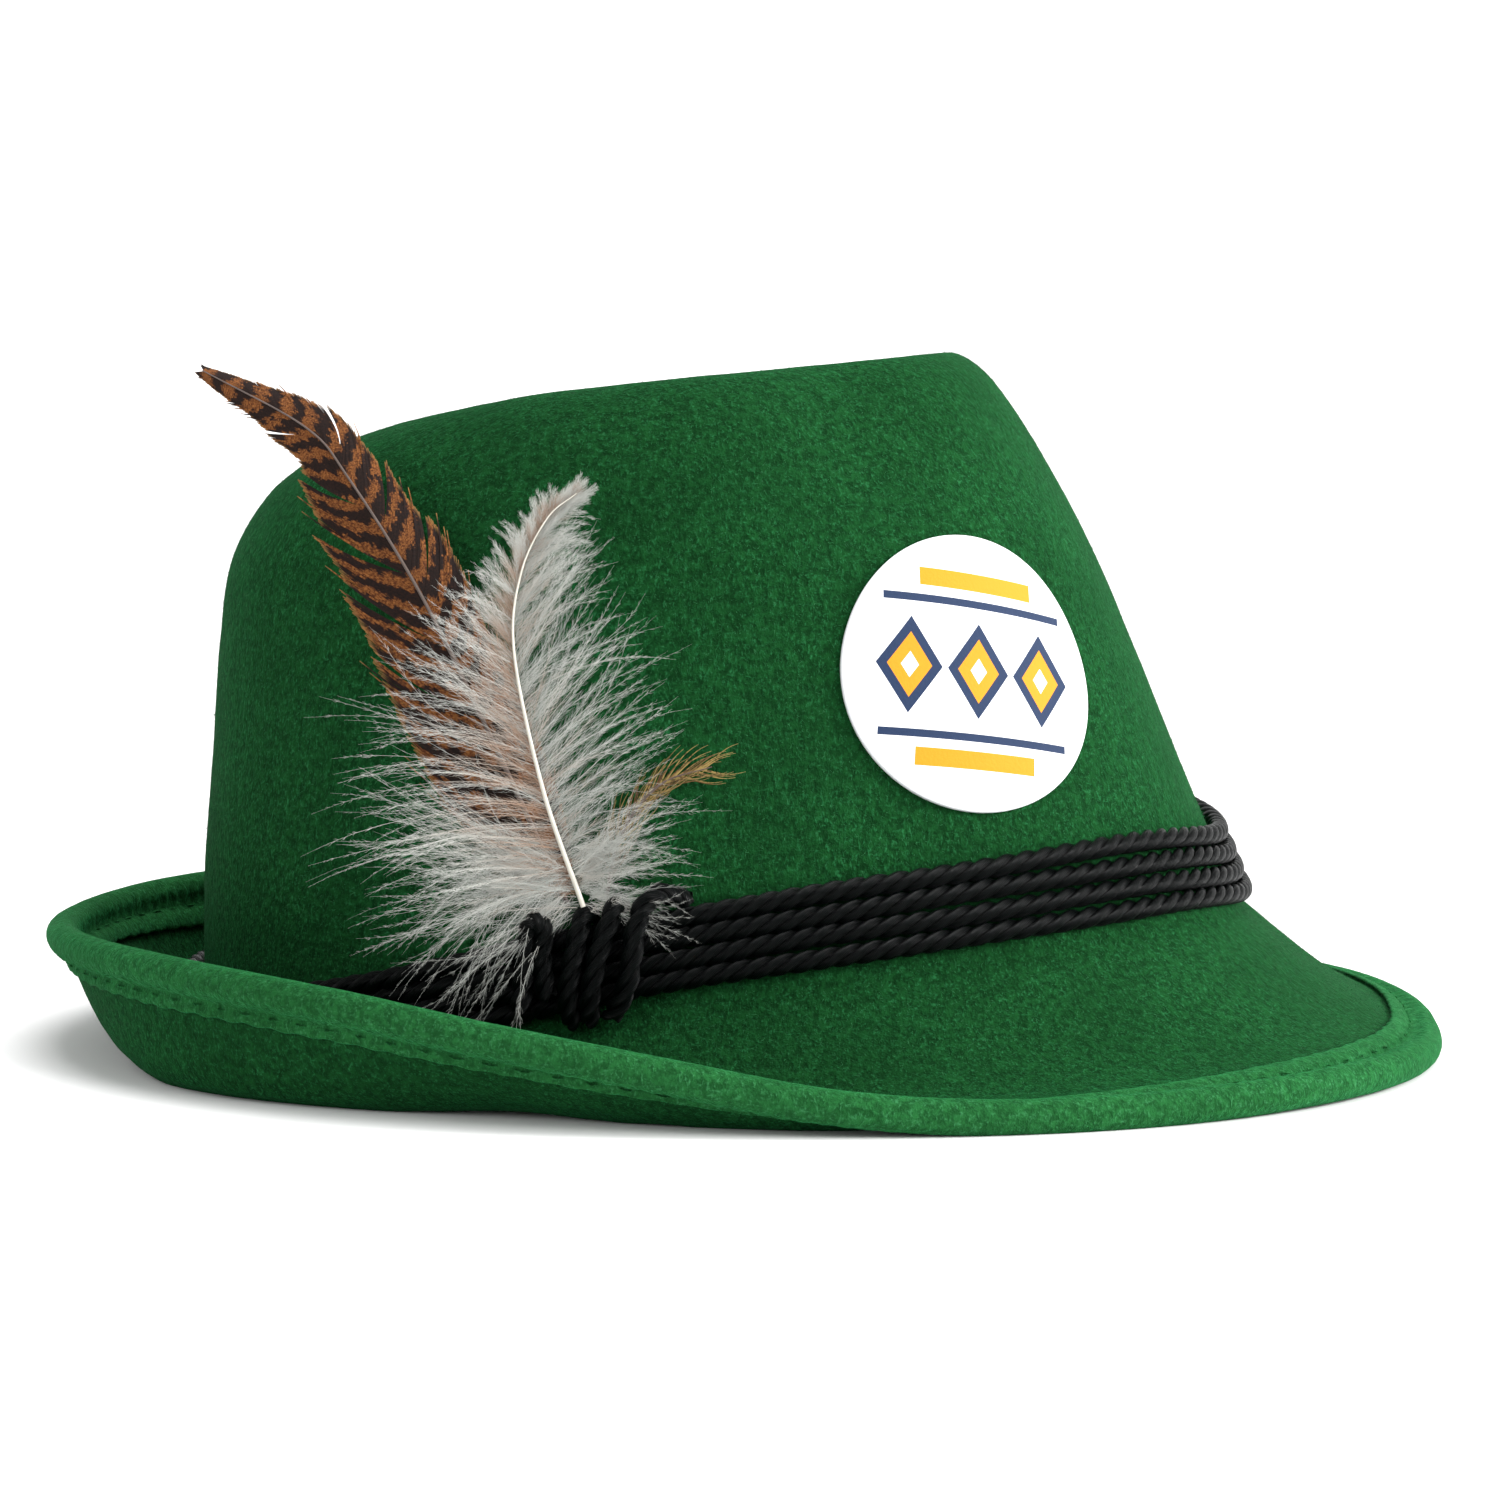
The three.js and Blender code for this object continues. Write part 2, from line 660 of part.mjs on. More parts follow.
// The patch: a disc laid on the wall, round as it is seen square on.
function roundPatch() {
  const centreAngle = patchAngle * degree;
  const origin = wallPoint(centreAngle, patchLevel);
  const normal = wallNormal(centreAngle, patchLevel);
  const across = new THREE.Vector3(0, 0, 1).cross(normal).normalize();
  const upward = normal.clone().cross(across);
  const height = ridgeZ(centreAngle) - foldZ(centreAngle);
  const findPlace = (right, up) => {
    let angle = centreAngle + right / halfWidth;
    let level = patchLevel + up / height;
    for (let k = 0; k < 6; k += 1) {
      const miss = wallPoint(angle, level).sub(origin);
      angle += (right - miss.dot(across)) / halfWidth;
      level += (up - miss.dot(upward)) / height;
    }
    return { angle, level };
  };
  const segments = 28;
  const rings = [0.4, 0.75, 1];
  const faces = [clearance, clearance + patchThickness].map((lift) => {
    const lifted = ({ angle, level }) => wallPoint(angle, level)
      .addScaledVector(wallNormal(angle, level), lift);
    const points = [lifted(findPlace(0, 0))];
    for (const ring of rings) {
      for (let k = 0; k < segments; k += 1) {
        const turn = (k * 2 * Math.PI) / segments;
        const radius = (ring * patchDiameter) / 2;
        points.push(lifted(findPlace(radius * Math.cos(turn), radius * Math.sin(turn))));
      }
    }
    return points;
  });
  const count = faces[0].length;
  const triangles = [];
  const put = (a, b, c) => {
    triangles.push(count + a, count + b, count + c);
    triangles.push(a, c, b);
  };
  for (let k = 0; k < segments; k += 1) {
    const next = (k + 1) % segments;
    put(0, 1 + k, 1 + next);
    for (let ring = 0; ring < rings.length - 1; ring += 1) {
      const a = 1 + ring * segments;
      const b = a + segments;
      put(a + k, b + k, b + next);
      put(a + k, b + next, a + next);
    }
    const rim = 1 + (rings.length - 1) * segments;
    triangles.push(rim + k, rim + next, count + rim + next);
    triangles.push(rim + k, count + rim + next, count + rim + k);
  }
  return meshOf(faces.flat().flatMap((point) => point.toArray()), triangles);
}

const greenFelt = new THREE.MeshStandardMaterial({ color: 0x1d5530, roughness: 0.95, metalness: 0 });
const paleGreenFelt = new THREE.MeshStandardMaterial({ color: 0x2a6b3c, roughness: 0.95, metalness: 0 });
const blackCord = new THREE.MeshStandardMaterial({ color: 0x15211e, roughness: 0.6, metalness: 0 });
const brownVane = new THREE.MeshStandardMaterial({ color: 0x7a4420, roughness: 0.7, metalness: 0 });
const whiteDown = new THREE.MeshStandardMaterial({ color: 0xdcdcd6, roughness: 0.9, metalness: 0 });
const goldVane = new THREE.MeshStandardMaterial({ color: 0x8a5a20, roughness: 0.7, metalness: 0 });
const whiteFelt = new THREE.MeshStandardMaterial({ color: 0xf0efec, roughness: 0.85, metalness: 0 });

const hat = new THREE.Group();

function addPiece(name, geometry, material) {
  const mesh = new THREE.Mesh(geometry, material);
  mesh.name = name;
  hat.add(mesh);
}

addPiece('felt_body', feltBody(), greenFelt);
addPiece('brim_binding', brimBinding(), paleGreenFelt);
for (let turn = 0; turn < cordTurns; turn += 1) {
  addPiece(`cord_turn_${turn + 1}`, cordTurn(turn), blackCord);
}
for (let turn = 0; turn < wrapTurns; turn += 1) {
  addPiece(`cord_wrap_${turn + 1}`, cordWrap(turn), blackCord);
}
addPiece('cord_end', cordEnd(), blackCord);
const barredPath = featherPath(featherBase(barredAngle, featherLift, 0), barredRoute, barredLength);
const hacklePath = featherPath(featherBase(hackleAngle, featherLift, 0), hackleRoute, hackleLength);
addPiece('feather_barred', flatFeather(barredPath, barredWidth, 12), brownVane);
addPiece('feather_hackle', flatFeather(hacklePath, hackleWidth, 7), goldVane);
addPiece('feather_plume', plume(featherBase(plumeAngle, plumeLift, plumeDrop)), whiteDown);
addPiece('round_patch', roundPatch(), whiteFelt);

// The origin is the bottom centre of the whole hat's box.
const box = new THREE.Box3().setFromObject(hat, true);
const middleX = (box.min.x + box.max.x) / 2;
const middleY = (box.min.y + box.max.y) / 2;
hat.position.set(-middleX, -middleY, -box.min.z);

const group = new THREE.Group();
group.add(hat);
export default group;
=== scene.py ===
import math
import random

import bpy
import numpy as np
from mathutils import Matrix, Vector, noise


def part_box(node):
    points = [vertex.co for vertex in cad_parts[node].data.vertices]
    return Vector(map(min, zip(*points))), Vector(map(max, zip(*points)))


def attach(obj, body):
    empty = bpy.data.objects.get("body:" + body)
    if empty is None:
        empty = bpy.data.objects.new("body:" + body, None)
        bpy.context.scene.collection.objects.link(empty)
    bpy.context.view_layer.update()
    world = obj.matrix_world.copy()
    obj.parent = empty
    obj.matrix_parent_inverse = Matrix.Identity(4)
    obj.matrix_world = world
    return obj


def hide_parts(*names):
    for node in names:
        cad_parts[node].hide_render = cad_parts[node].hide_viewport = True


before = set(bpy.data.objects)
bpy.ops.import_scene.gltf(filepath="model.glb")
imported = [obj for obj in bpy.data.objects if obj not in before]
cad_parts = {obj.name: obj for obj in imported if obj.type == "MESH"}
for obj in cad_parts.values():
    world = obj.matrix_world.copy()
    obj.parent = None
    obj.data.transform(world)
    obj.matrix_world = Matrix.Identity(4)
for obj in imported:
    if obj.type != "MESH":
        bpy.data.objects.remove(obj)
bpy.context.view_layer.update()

MM = 0.001
DEGREE = math.pi / 180


def table(columns, *rows):
    """Rows of a table under the names of its columns."""
    return [dict(zip(columns.split(), row)) for row in rows]


# Sizes in millimetres, angles in degrees and shares, as the hat's solids have them
FELT = 2.0
HALF_LENGTH = 103.0
HALF_WIDTH = 83.0
PEAK = 137.0
CROWN_SQUARENESS, BRIM_SQUARENESS, BRIM_BACK_SQUARENESS = 2.2, 2.4, 2.0
REACH_FRONT, REACH_SIDE, REACH_BACK = 36.0, 31.5, 27.0
FOLD_HEIGHT = 31.0
TURN_UP = 20.0
FOLD_ROUND = 3.0
CREASE_DEPTH, CREASE_LENGTH, CREASE_SHIFT = 27.0, 87.0, -7.0
CREASE_END, CREASE_SLOPE = 0.45, 0.2
PINCH_DEPTH, PINCH_ANGLE, PINCH_SPREAD, PINCH_FOOT = 6.0, 62.0, 17.0, 0.55
BEAD_RADIUS = 3.2
BEAD_OVERHANG = 1.0
BINDING = 1.2
FLANGE = 7.5
CORD_RADIUS = 1.75
CORD_TURNS = 4
CORD_SEAT = 2.6
CLEARANCE = 0.34
WRAP_ANGLE = -101.5
WRAP_TURNS = 3
PATCH_RADIUS, PATCH_THICKNESS = 26.0, 1.1
PATCH_ANGLE, PATCH_LEVEL = -49.5, 0.457

# About how long the brim is down its slope, from the fold to its edge
BRIM_SLANT = REACH_SIDE * 1.3

# Crown sections by the share of the wall's height, as shares of its half length and half width
CROWN_SECTIONS = table(
    "level front back side",
    (0.00, 1.000, 1.000, 1.000),
    (0.14, 0.938, 1.002, 0.985),
    (0.30, 0.868, 0.998, 0.960),
    (0.47, 0.792, 0.983, 0.925),
    (0.65, 0.712, 0.967, 0.878),
    (0.80, 0.624, 0.938, 0.820),
    (0.92, 0.542, 0.838, 0.740),
    (0.98, 0.491, 0.715, 0.665),
    (1.00, 0.446, 0.610, 0.600),
)
# The crown's edges by the angle from the front, as shares of PEAK and of the fold's height
EDGE_TABLE = table(
    "angle ridge fold",
    (0, 1.000, 0.88),
    (30, 0.995, 0.97),
    (60, 0.982, 0.84),
    (90, 0.965, 0.61),
    (120, 0.945, 0.28),
    (150, 0.912, 0.01),
    (180, 0.885, 0.00),
)
# The brim's middle and edge by the same angle: shares of its reach and height, and slopes in degrees
BRIM_TABLE = table(
    "angle leave middle height slope edge arrive",
    (0, -38, 0.50, 0.40, -34, 0.00, -24),
    (30, -46, 0.52, 0.36, -38, 0.05, -18),
    (60, -56, 0.62, 0.10, -22, 0.00, 2),
    (75, -60, 0.76, -0.04, 0, 0.10, 30),
    (90, -60, 0.58, -0.04, 0, 0.40, 48),
    (105, -54, 0.51, 0.02, 4, 0.68, 58),
    (120, -38, 0.62, -0.02, 4, 0.92, 66),
    (140, -16, 0.76, -0.04, 10, 1.05, 70),
    (160, 2, 0.62, 0.07, 22, 1.06, 60),
    (180, 8, 0.56, 0.17, 30, 1.03, 50),
)

# The crown's axis stands where the felt's own box says, in millimetres
felt_lo, felt_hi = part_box("felt_body")
AXIS_X = (felt_lo[0] + felt_hi[0]) / 2 / MM - (REACH_FRONT - REACH_BACK) / 2


def read_table(rows, key, value, column, mirrored=False):
    """A column of a table at values of its key column, on a smooth curve through the rows."""
    keys = np.array([row[key] for row in rows], float)
    cells = np.array([row[column] for row in rows], float)
    last = len(rows) - 1
    before = np.maximum(np.arange(last + 1) - 1, 0)
    after = np.minimum(np.arange(last + 1) + 1, last)
    slopes = (cells[after] - cells[before]) / (keys[after] - keys[before])
    if mirrored:
        slopes[0] = slopes[last] = 0
    value = np.asarray(value, float)
    i = np.searchsorted(keys[1:last], value, side="left")
    gap = keys[i + 1] - keys[i]
    t = (value - keys[i]) / gap
    bend = t * (1 - t) * gap * (slopes[i] * (1 - t) - slopes[i + 1] * t)
    return cells[i] + (cells[i + 1] - cells[i]) * t * t * (3 - 2 * t) + bend


def around(rows, angle, column):
    """A column of a table whose key is the angle from the hat's front."""
    from_front = np.abs(np.arctan2(np.sin(angle), np.cos(angle))) / DEGREE
    return read_table(rows, "angle", from_front, column, True)


def oval_radius(angle, front, back, side, squareness=CROWN_SQUARENESS):
    """The radius of an oval with its own half lengths in front and behind."""
    along = np.abs(np.cos(angle)) / np.where(np.cos(angle) > 0, front, back)
    across = np.abs(np.sin(angle)) / side
    return (along**squareness + across**squareness) ** (-1 / squareness)


def at_radius(angle, radius, z):
    angle, radius, z = np.broadcast_arrays(angle, radius, z)
    return np.stack([AXIS_X + radius * np.cos(angle), radius * np.sin(angle), z], axis=-1)


def fold_z(angle):
    return FELT + around(EDGE_TABLE, angle, "fold") * (FOLD_HEIGHT - FELT)


def ridge_z(angle):
    return PEAK * around(EDGE_TABLE, angle, "ridge")


def smoothstep(value, low, high):
    t = np.clip((value - low) / (high - low), 0, 1)
    return t * t * (3 - 2 * t)


def wall_point(angle, level):
    """A point on the outside of the crown's wall, from the fold at level 0 to the ridge at 1."""
    front = HALF_LENGTH * read_table(CROWN_SECTIONS, "level", level, "front")
    back = HALF_LENGTH * read_table(CROWN_SECTIONS, "level", level, "back")
    side = HALF_WIDTH * read_table(CROWN_SECTIONS, "level", level, "side")
    away = (np.abs(np.arctan2(np.sin(angle), np.cos(angle))) / DEGREE - PINCH_ANGLE) / PINCH_SPREAD
    pinch = PINCH_DEPTH * smoothstep(level, PINCH_FOOT, 1) * np.exp(-away * away)
    z = fold_z(angle) * (1 - level) + ridge_z(angle) * level
    return at_radius(angle, oval_radius(angle, front, back, side) - pinch, z)


def unit(vectors):
    return vectors / np.maximum(np.linalg.norm(vectors, axis=-1, keepdims=True), 1e-12)


def full_turn(count):
    """Angles at even steps all round."""
    return np.arange(count) * 2 * np.pi / count


def run_along(points):
    """The distance along a path at each of its points."""
    return np.concatenate([[0], np.cumsum(np.linalg.norm(np.diff(points, axis=0), axis=1))])


def wall_normal(angle, level):
    step = 0.01
    low = np.minimum(level, 1 - step)
    beside = wall_point(angle + step, level) - wall_point(angle, level)
    above = wall_point(angle, low + step) - wall_point(angle, low)
    return unit(np.cross(beside, above))


def off_wall(angle, rise, lift):
    """A point at a height above the fold, measured up the wall, lifted off the felt."""
    level = rise / (ridge_z(angle) - fold_z(angle))
    return wall_point(angle, level) + wall_normal(angle, level) * np.asarray(lift)[..., None]


def top_point(angle, share):
    """A point on the top of the crown, from the ridge at share 0 to the crease at 1."""
    ridge = wall_point(angle, 1.0)
    turned = np.abs(np.arctan2(np.sin(angle), np.cos(angle)))
    x = AXIS_X + CREASE_SHIFT + CREASE_LENGTH * (0.5 - turned / math.pi)
    deep = CREASE_DEPTH * (CREASE_END + (1 - CREASE_END) * np.sin(angle) ** 2)
    fall = (1 - np.cos(np.pi * share)) / 2
    return np.stack(
        [
            ridge[..., 0] * (1 - share) + x * share,
            ridge[..., 1] * (1 - share),
            ridge[..., 2] - deep * (share * CREASE_SLOPE + fall * (1 - CREASE_SLOPE)),
        ],
        axis=-1,
    )


def bend_between(start, end, slope_start, slope_end, t):
    """A curve between two points with a slope at each, as distances out and up."""
    arm = np.hypot(end[0] - start[0], end[1] - start[1]) / 3
    weights = [(1 - t) ** 3, 3 * t * (1 - t) ** 2, 3 * t * t * (1 - t), t**3]
    turns = [(np.cos, 0), (np.sin, 1)]
    found = []
    for trig, k in turns:
        knots = [start[k], start[k] + arm * trig(slope_start), end[k] - arm * trig(slope_end), end[k]]
        found.append(sum(w * knot for w, knot in zip(weights, knots)))
    return found


def brim_point(angle, share):
    """A point on the brim's upper face, from the fold at share 0 to the felt's edge at 1."""
    column = lambda name: around(BRIM_TABLE, angle, name)
    fold_radius = oval_radius(angle, HALF_LENGTH, HALF_LENGTH, HALF_WIDTH)
    front, back, side = HALF_LENGTH + REACH_FRONT, HALF_LENGTH + REACH_BACK, HALF_WIDTH + REACH_SIDE
    squareness = np.where(np.cos(angle) > 0, BRIM_SQUARENESS, BRIM_BACK_SQUARENESS)
    edge_radius = oval_radius(angle, front, back, side, squareness)
    rest = BEAD_RADIUS - CLEARANCE
    fold = (fold_radius, fold_z(angle))
    middle_radius = fold_radius + (edge_radius - fold_radius) * column("middle")
    middle = (middle_radius, FELT + column("height") * (FOLD_HEIGHT - FELT))
    edge = (edge_radius, rest + column("edge") * (TURN_UP - rest) + FELT / 2)
    leave, slope, arrive = (column(name) * DEGREE for name in ("leave", "slope", "arrive"))
    first = bend_between(fold, middle, leave, slope, np.minimum(share * 2, 1.0))
    second = bend_between(middle, edge, slope, arrive, np.maximum(share * 2 - 1, 0.0))
    out = np.where(share < 0.5, first[0], second[0])
    z = np.where(share < 0.5, first[1], second[1])
    return at_radius(angle, out, np.maximum(z, FELT))


def corner_point(angle, share):
    """A point on the rounded fold, from the wall at share 0 to the brim at 1."""
    wall_end = off_wall(angle, FOLD_ROUND, 0.0)
    corner = wall_point(angle, 0.0)
    brim_end = brim_point(angle, FOLD_ROUND / BRIM_SLANT)
    return wall_end * (1 - share) ** 2 + corner * 2 * share * (1 - share) + brim_end * share**2


def make_mesh(name, points, faces, material, uvs=None, smooth=True):
    """A mesh object in metres from points in millimetres. uvs gives one pair for each point."""
    mesh = bpy.data.meshes.new(name)
    points = np.asarray(points, np.float32).reshape(-1, 3)
    faces = np.asarray(faces, np.int32)
    size = faces.shape[1]
    mesh.vertices.add(len(points))
    mesh.vertices.foreach_set("co", (points * MM).ravel())
    mesh.loops.add(faces.size)
    mesh.loops.foreach_set("vertex_index", faces.ravel())
    mesh.polygons.add(len(faces))
    mesh.polygons.foreach_set("loop_start", np.arange(0, faces.size, size, dtype=np.int32))
    mesh.polygons.foreach_set("use_smooth", np.full(len(faces), smooth))
    if uvs is not None:
        layer = mesh.uv_layers.new(name="UVMap")
        layer.data.foreach_set("uv", np.asarray(uvs, np.float32)[faces.ravel()].ravel())
    mesh.update(calc_edges=True)
    mesh.validate()
    piece = bpy.data.objects.new(name, mesh)
    bpy.context.collection.objects.link(piece)
    mesh.materials.append(material)
    return piece


def grid_faces(rows, columns, wrap_rows=False, wrap_columns=False, first=0):
    """Quads over a grid of points, row by row."""
    i = np.arange(rows if wrap_rows else rows - 1)[:, None]
    j = np.arange(columns if wrap_columns else columns - 1)[None, :]
    ni, nj = (i + 1) % rows, (j + 1) % columns
    quads = np.stack([i * columns + j, i * columns + nj, ni * columns + nj, ni * columns + j], axis=-1)
    return quads.reshape(-1, 4) + first


def grid_normals(points):
    """Normals of a grid whose rows run down the hat and whose columns go round it."""
    down = np.gradient(points, axis=0)
    side = np.roll(points, -1, axis=1) - np.roll(points, 1, axis=1)
    return unit(np.cross(down, side))


def ripple(points, size, seed):
    """Smooth noise in -1 to 1 at points, with features of the given size."""
    shift = Vector((seed * 7.3, seed * 3.1, seed * 5.7))
    flat = points.reshape(-1, 3) / size
    values = [noise.noise(Vector(p) + shift) for p in flat.tolist()]
    return np.array(values).reshape(points.shape[:-1])


# Node trees


class Nodes:
    """A small helper for one material's node tree."""

    def __init__(self, name):
        self.material = bpy.data.materials.new(name)
        self.material.use_nodes = True
        self.tree = self.material.node_tree
        self.tree.nodes.clear()
        self.output = self.tree.nodes.new("ShaderNodeOutputMaterial")
        self.shader = self.tree.nodes.new("ShaderNodeBsdfPrincipled")
        self.link(self.shader.outputs[0], self.output.inputs["Surface"])

    def link(self, source, target):
        self.tree.links.new(source, target)

    def put(self, target, value):
        if isinstance(value, bpy.types.NodeSocket):
            self.link(value, target)
        else:
            target.default_value = value

    def coordinates(self, scale=(1, 1, 1), kind="Object", rotation=(0, 0, 0)):
        source = self.tree.nodes.new("ShaderNodeTexCoord")
        mapping = self.tree.nodes.new("ShaderNodeMapping")
        mapping.inputs["Scale"].default_value = scale
        mapping.inputs["Rotation"].default_value = rotation
        self.link(source.outputs[kind], mapping.inputs["Vector"])
        return mapping.outputs[0]

    def noise(self, vector, scale, detail=2.0, rough=0.5):
        node = self.tree.nodes.new("ShaderNodeTexNoise")
        self.link(vector, node.inputs["Vector"])
        node.inputs["Scale"].default_value = scale
        node.inputs["Detail"].default_value = detail
        node.inputs["Roughness"].default_value = rough
        return node.outputs["Fac"]

    def math(self, operation, first, second=0.0):
        node = self.tree.nodes.new("ShaderNodeMath")
        node.operation = operation
        for socket, value in zip(node.inputs, (first, second)):
            self.put(socket, value)
        return node.outputs[0]

    def times(self, first, second):
        return self.math("MULTIPLY", first, second)

    def plus(self, first, second):
        return self.math("ADD", first, second)

    def minus(self, first, second):
        return self.math("SUBTRACT", first, second)

    def size(self, value):
        return self.math("ABSOLUTE", value)

    def below(self, value, limit):
        return self.math("LESS_THAN", value, limit)

    def spread(self, value, low, high, to_low=0.0, to_high=1.0):
        node = self.tree.nodes.new("ShaderNodeMapRange")
        node.interpolation_type = "SMOOTHSTEP"
        for socket, number in zip(node.inputs, (value, low, high, to_low, to_high)):
            self.put(socket, number)
        return node.outputs[0]

    def mix(self, share, first, second):
        node = self.tree.nodes.new("ShaderNodeMix")
        node.data_type = "RGBA"
        self.put(node.inputs[0], share)
        self.put(node.inputs[6], first if not isinstance(first, tuple) else (*first, 1))
        self.put(node.inputs[7], second if not isinstance(second, tuple) else (*second, 1))
        return node.outputs[2]

    def split(self, vector):
        node = self.tree.nodes.new("ShaderNodeSeparateXYZ")
        self.link(vector, node.inputs[0])
        return node.outputs

    def bump(self, height, distance, strength):
        node = self.tree.nodes.new("ShaderNodeBump")
        node.inputs["Distance"].default_value = distance
        node.inputs["Strength"].default_value = strength
        self.link(height, node.inputs["Height"])
        return node.outputs[0]

    def finish(self, color=None, normal=None, **plain):
        if color is not None:
            self.put(self.shader.inputs["Base Color"], color)
        if normal is not None:
            self.link(normal, self.shader.inputs["Normal"])
        for name, value in plain.items():
            self.shader.inputs[name.replace("_", " ")].default_value = value
        return self.material


def felt_material(name, dark, middle, light, sheen):
    """Short-napped felt: clumps and crossing fibres of wool, darker and lighter."""
    n = Nodes(name)
    place = n.coordinates()
    leaning = n.coordinates(scale=(1.0, 1.0, 0.5), rotation=(0.3, 0.6, 0.2))
    crossing = n.coordinates(scale=(0.45, 0.45, 1.0), rotation=(-0.2, -0.7, 0.1))
    wide = n.noise(place, 60, 3)
    clumps = n.noise(place, 620, 3, 0.65)
    fibres = n.noise(leaning, 1700, 2, 0.7)
    strays = n.noise(crossing, 1500, 2, 0.7)
    shade = n.mix(n.spread(clumps, 0.36, 0.66), dark, middle)
    shade = n.mix(n.spread(fibres, 0.52, 0.78, 0.0, 0.8), shade, light)
    shade = n.mix(n.spread(strays, 0.56, 0.80, 0.0, 0.7), shade, light)
    shade = n.mix(n.spread(wide, 0.35, 0.7, 0.0, 0.35), shade, dark)
    height = n.plus(n.times(clumps, 0.8), n.times(fibres, 0.5))
    normal = n.bump(height, 0.0011, 0.8)
    return n.finish(shade, normal, Roughness=0.95, Sheen_Weight=sheen, Sheen_Roughness=0.35,
                    Sheen_Tint=(0.06, 0.66, 0.22, 1), Specular_IOR_Level=0.04)


def nap_material():
    """The loose fibres that stand off the felt."""
    n = Nodes("nap_fibres")
    vary = n.noise(n.coordinates(), 1300, 1)
    color = n.mix(n.spread(vary, 0.40, 0.66), (0.005, 0.036, 0.010), (0.032, 0.150, 0.056))
    return n.finish(color, Roughness=0.9, Sheen_Weight=0.15, Sheen_Tint=(0.12, 0.62, 0.22, 1),
                    Specular_IOR_Level=0.05)


def cord_material():
    """Satin yarn: dark, with fine fibre lines along each strand."""
    n = Nodes("twisted_cord")
    along, across, _ = n.split(n.coordinates(kind="UV"))
    lines = n.math("SINE", n.times(n.plus(across, n.times(along, 0.05)), 60))
    rough = n.noise(n.coordinates(), 1400, 2)
    color = n.mix(n.spread(lines, -0.4, 1.0), (0.0002, 0.0003, 0.0003), (0.0010, 0.0023, 0.0022))
    color = n.mix(n.spread(rough, 0.5, 0.8, 0.0, 0.5), color, (0.0018, 0.0032, 0.0031))
    height = n.plus(lines, n.times(rough, 1.5))
    return n.finish(color, n.bump(height, 0.00010, 0.7), Roughness=0.33, Specular_IOR_Level=0.11)


def barred_material():
    """Rust-brown vane with irregular dark bars and pale edges. U runs along the feather, V across."""
    n = Nodes("barred_feather")
    along, across, _ = n.split(n.coordinates(kind="UV"))
    wander = n.noise(n.coordinates(kind="UV", scale=(11, 2.4, 1)), 2.4, 3, 0.6)
    wave = n.plus(n.times(along, 132), n.times(wander, 9))
    blotch = n.noise(n.coordinates(kind="UV", scale=(26, 3.4, 1)), 2.0, 3, 0.6)
    level = n.plus(n.math("SINE", wave), n.times(n.minus(blotch, 0.5), 2.6))
    bars = n.spread(level, -0.62, 0.20)
    flecks = n.noise(n.coordinates(kind="UV", scale=(150, 9, 1)), 3.0, 3)
    rust = n.mix(n.spread(flecks, 0.35, 0.7), (0.060, 0.016, 0.0040), (0.250, 0.090, 0.0210))
    dark = n.mix(n.spread(flecks, 0.3, 0.7), (0.0045, 0.0020, 0.0015), (0.016, 0.0055, 0.0030))
    color = n.mix(bars, rust, dark)
    edge = n.spread(n.size(across), 0.90, 1.0, 0.0, 0.6)
    color = n.mix(edge, color, (0.27, 0.145, 0.045))
    return n.finish(color, Roughness=0.6, Specular_IOR_Level=0.15)


def down_material():
    """White down, beige near the quill. U runs along a barb and V differs from barb to barb."""
    n = Nodes("white_down")
    along, which, _ = n.split(n.coordinates(kind="UV"))
    color = n.mix(n.spread(which, 0.0, 0.5), (0.30, 0.32, 0.295), (0.50, 0.505, 0.47))
    near = n.spread(along, 0.12, 0.75, 1.0, 0.0)
    beige = n.times(n.spread(which, 0.45, 0.85), near)
    color = n.mix(beige, color, (0.33, 0.215, 0.150))
    return n.finish(color, Roughness=0.85, Sheen_Weight=0.1, Specular_IOR_Level=0.1)


def golden_material():
    """Golden-brown barbs with dark spots and paler tips."""
    n = Nodes("golden_feather")
    along, which, _ = n.split(n.coordinates(kind="UV"))
    spots = n.noise(n.coordinates(kind="UV", scale=(6, 30, 1)), 2.0, 2)
    color = n.mix(n.spread(which, 0.2, 0.8), (0.10, 0.050, 0.012), (0.27, 0.19, 0.055))
    color = n.mix(n.spread(spots, 0.5, 0.62, 0.0, 0.8), color, (0.030, 0.013, 0.005))
    color = n.mix(n.spread(along, 0.6, 1.0, 0.0, 0.6), color, (0.28, 0.22, 0.075))
    return n.finish(color, Roughness=0.55, Specular_IOR_Level=0.3)


def quill_material():
    """The plume's ivory quill."""
    n = Nodes("ivory_quill")
    vary = n.noise(n.coordinates(), 400, 2)
    color = n.mix(vary, (0.52, 0.49, 0.42), (0.66, 0.63, 0.55))
    return n.finish(color, Roughness=0.4, Specular_IOR_Level=0.5)


def grey_quill_material():
    """The dark horn of the other quills."""
    n = Nodes("horn_quill")
    vary = n.noise(n.coordinates(), 300, 2)
    color = n.mix(vary, (0.05, 0.032, 0.026), (0.12, 0.085, 0.07))
    return n.finish(color, Roughness=0.45, Specular_IOR_Level=0.5)


# The felt

FELT_COLUMNS = 320
TOP_ROWS, WALL_ROWS, CORNER_ROWS, BRIM_ROWS = 26, 46, 8, 36
# Rows of the wall stand closer together towards the ridge, by this power
WALL_CROWDING = 1.3
# Lumps of the felt: their size and height in millimetres, and a seed
FELT_LUMPS = [(26.0, 0.30, 1), (7.0, 0.07, 2)]
# Heights over which the lumps set in, so that the brim lies flat
LUMPS_LOW, LUMPS_HIGH = 3.0, 12.0


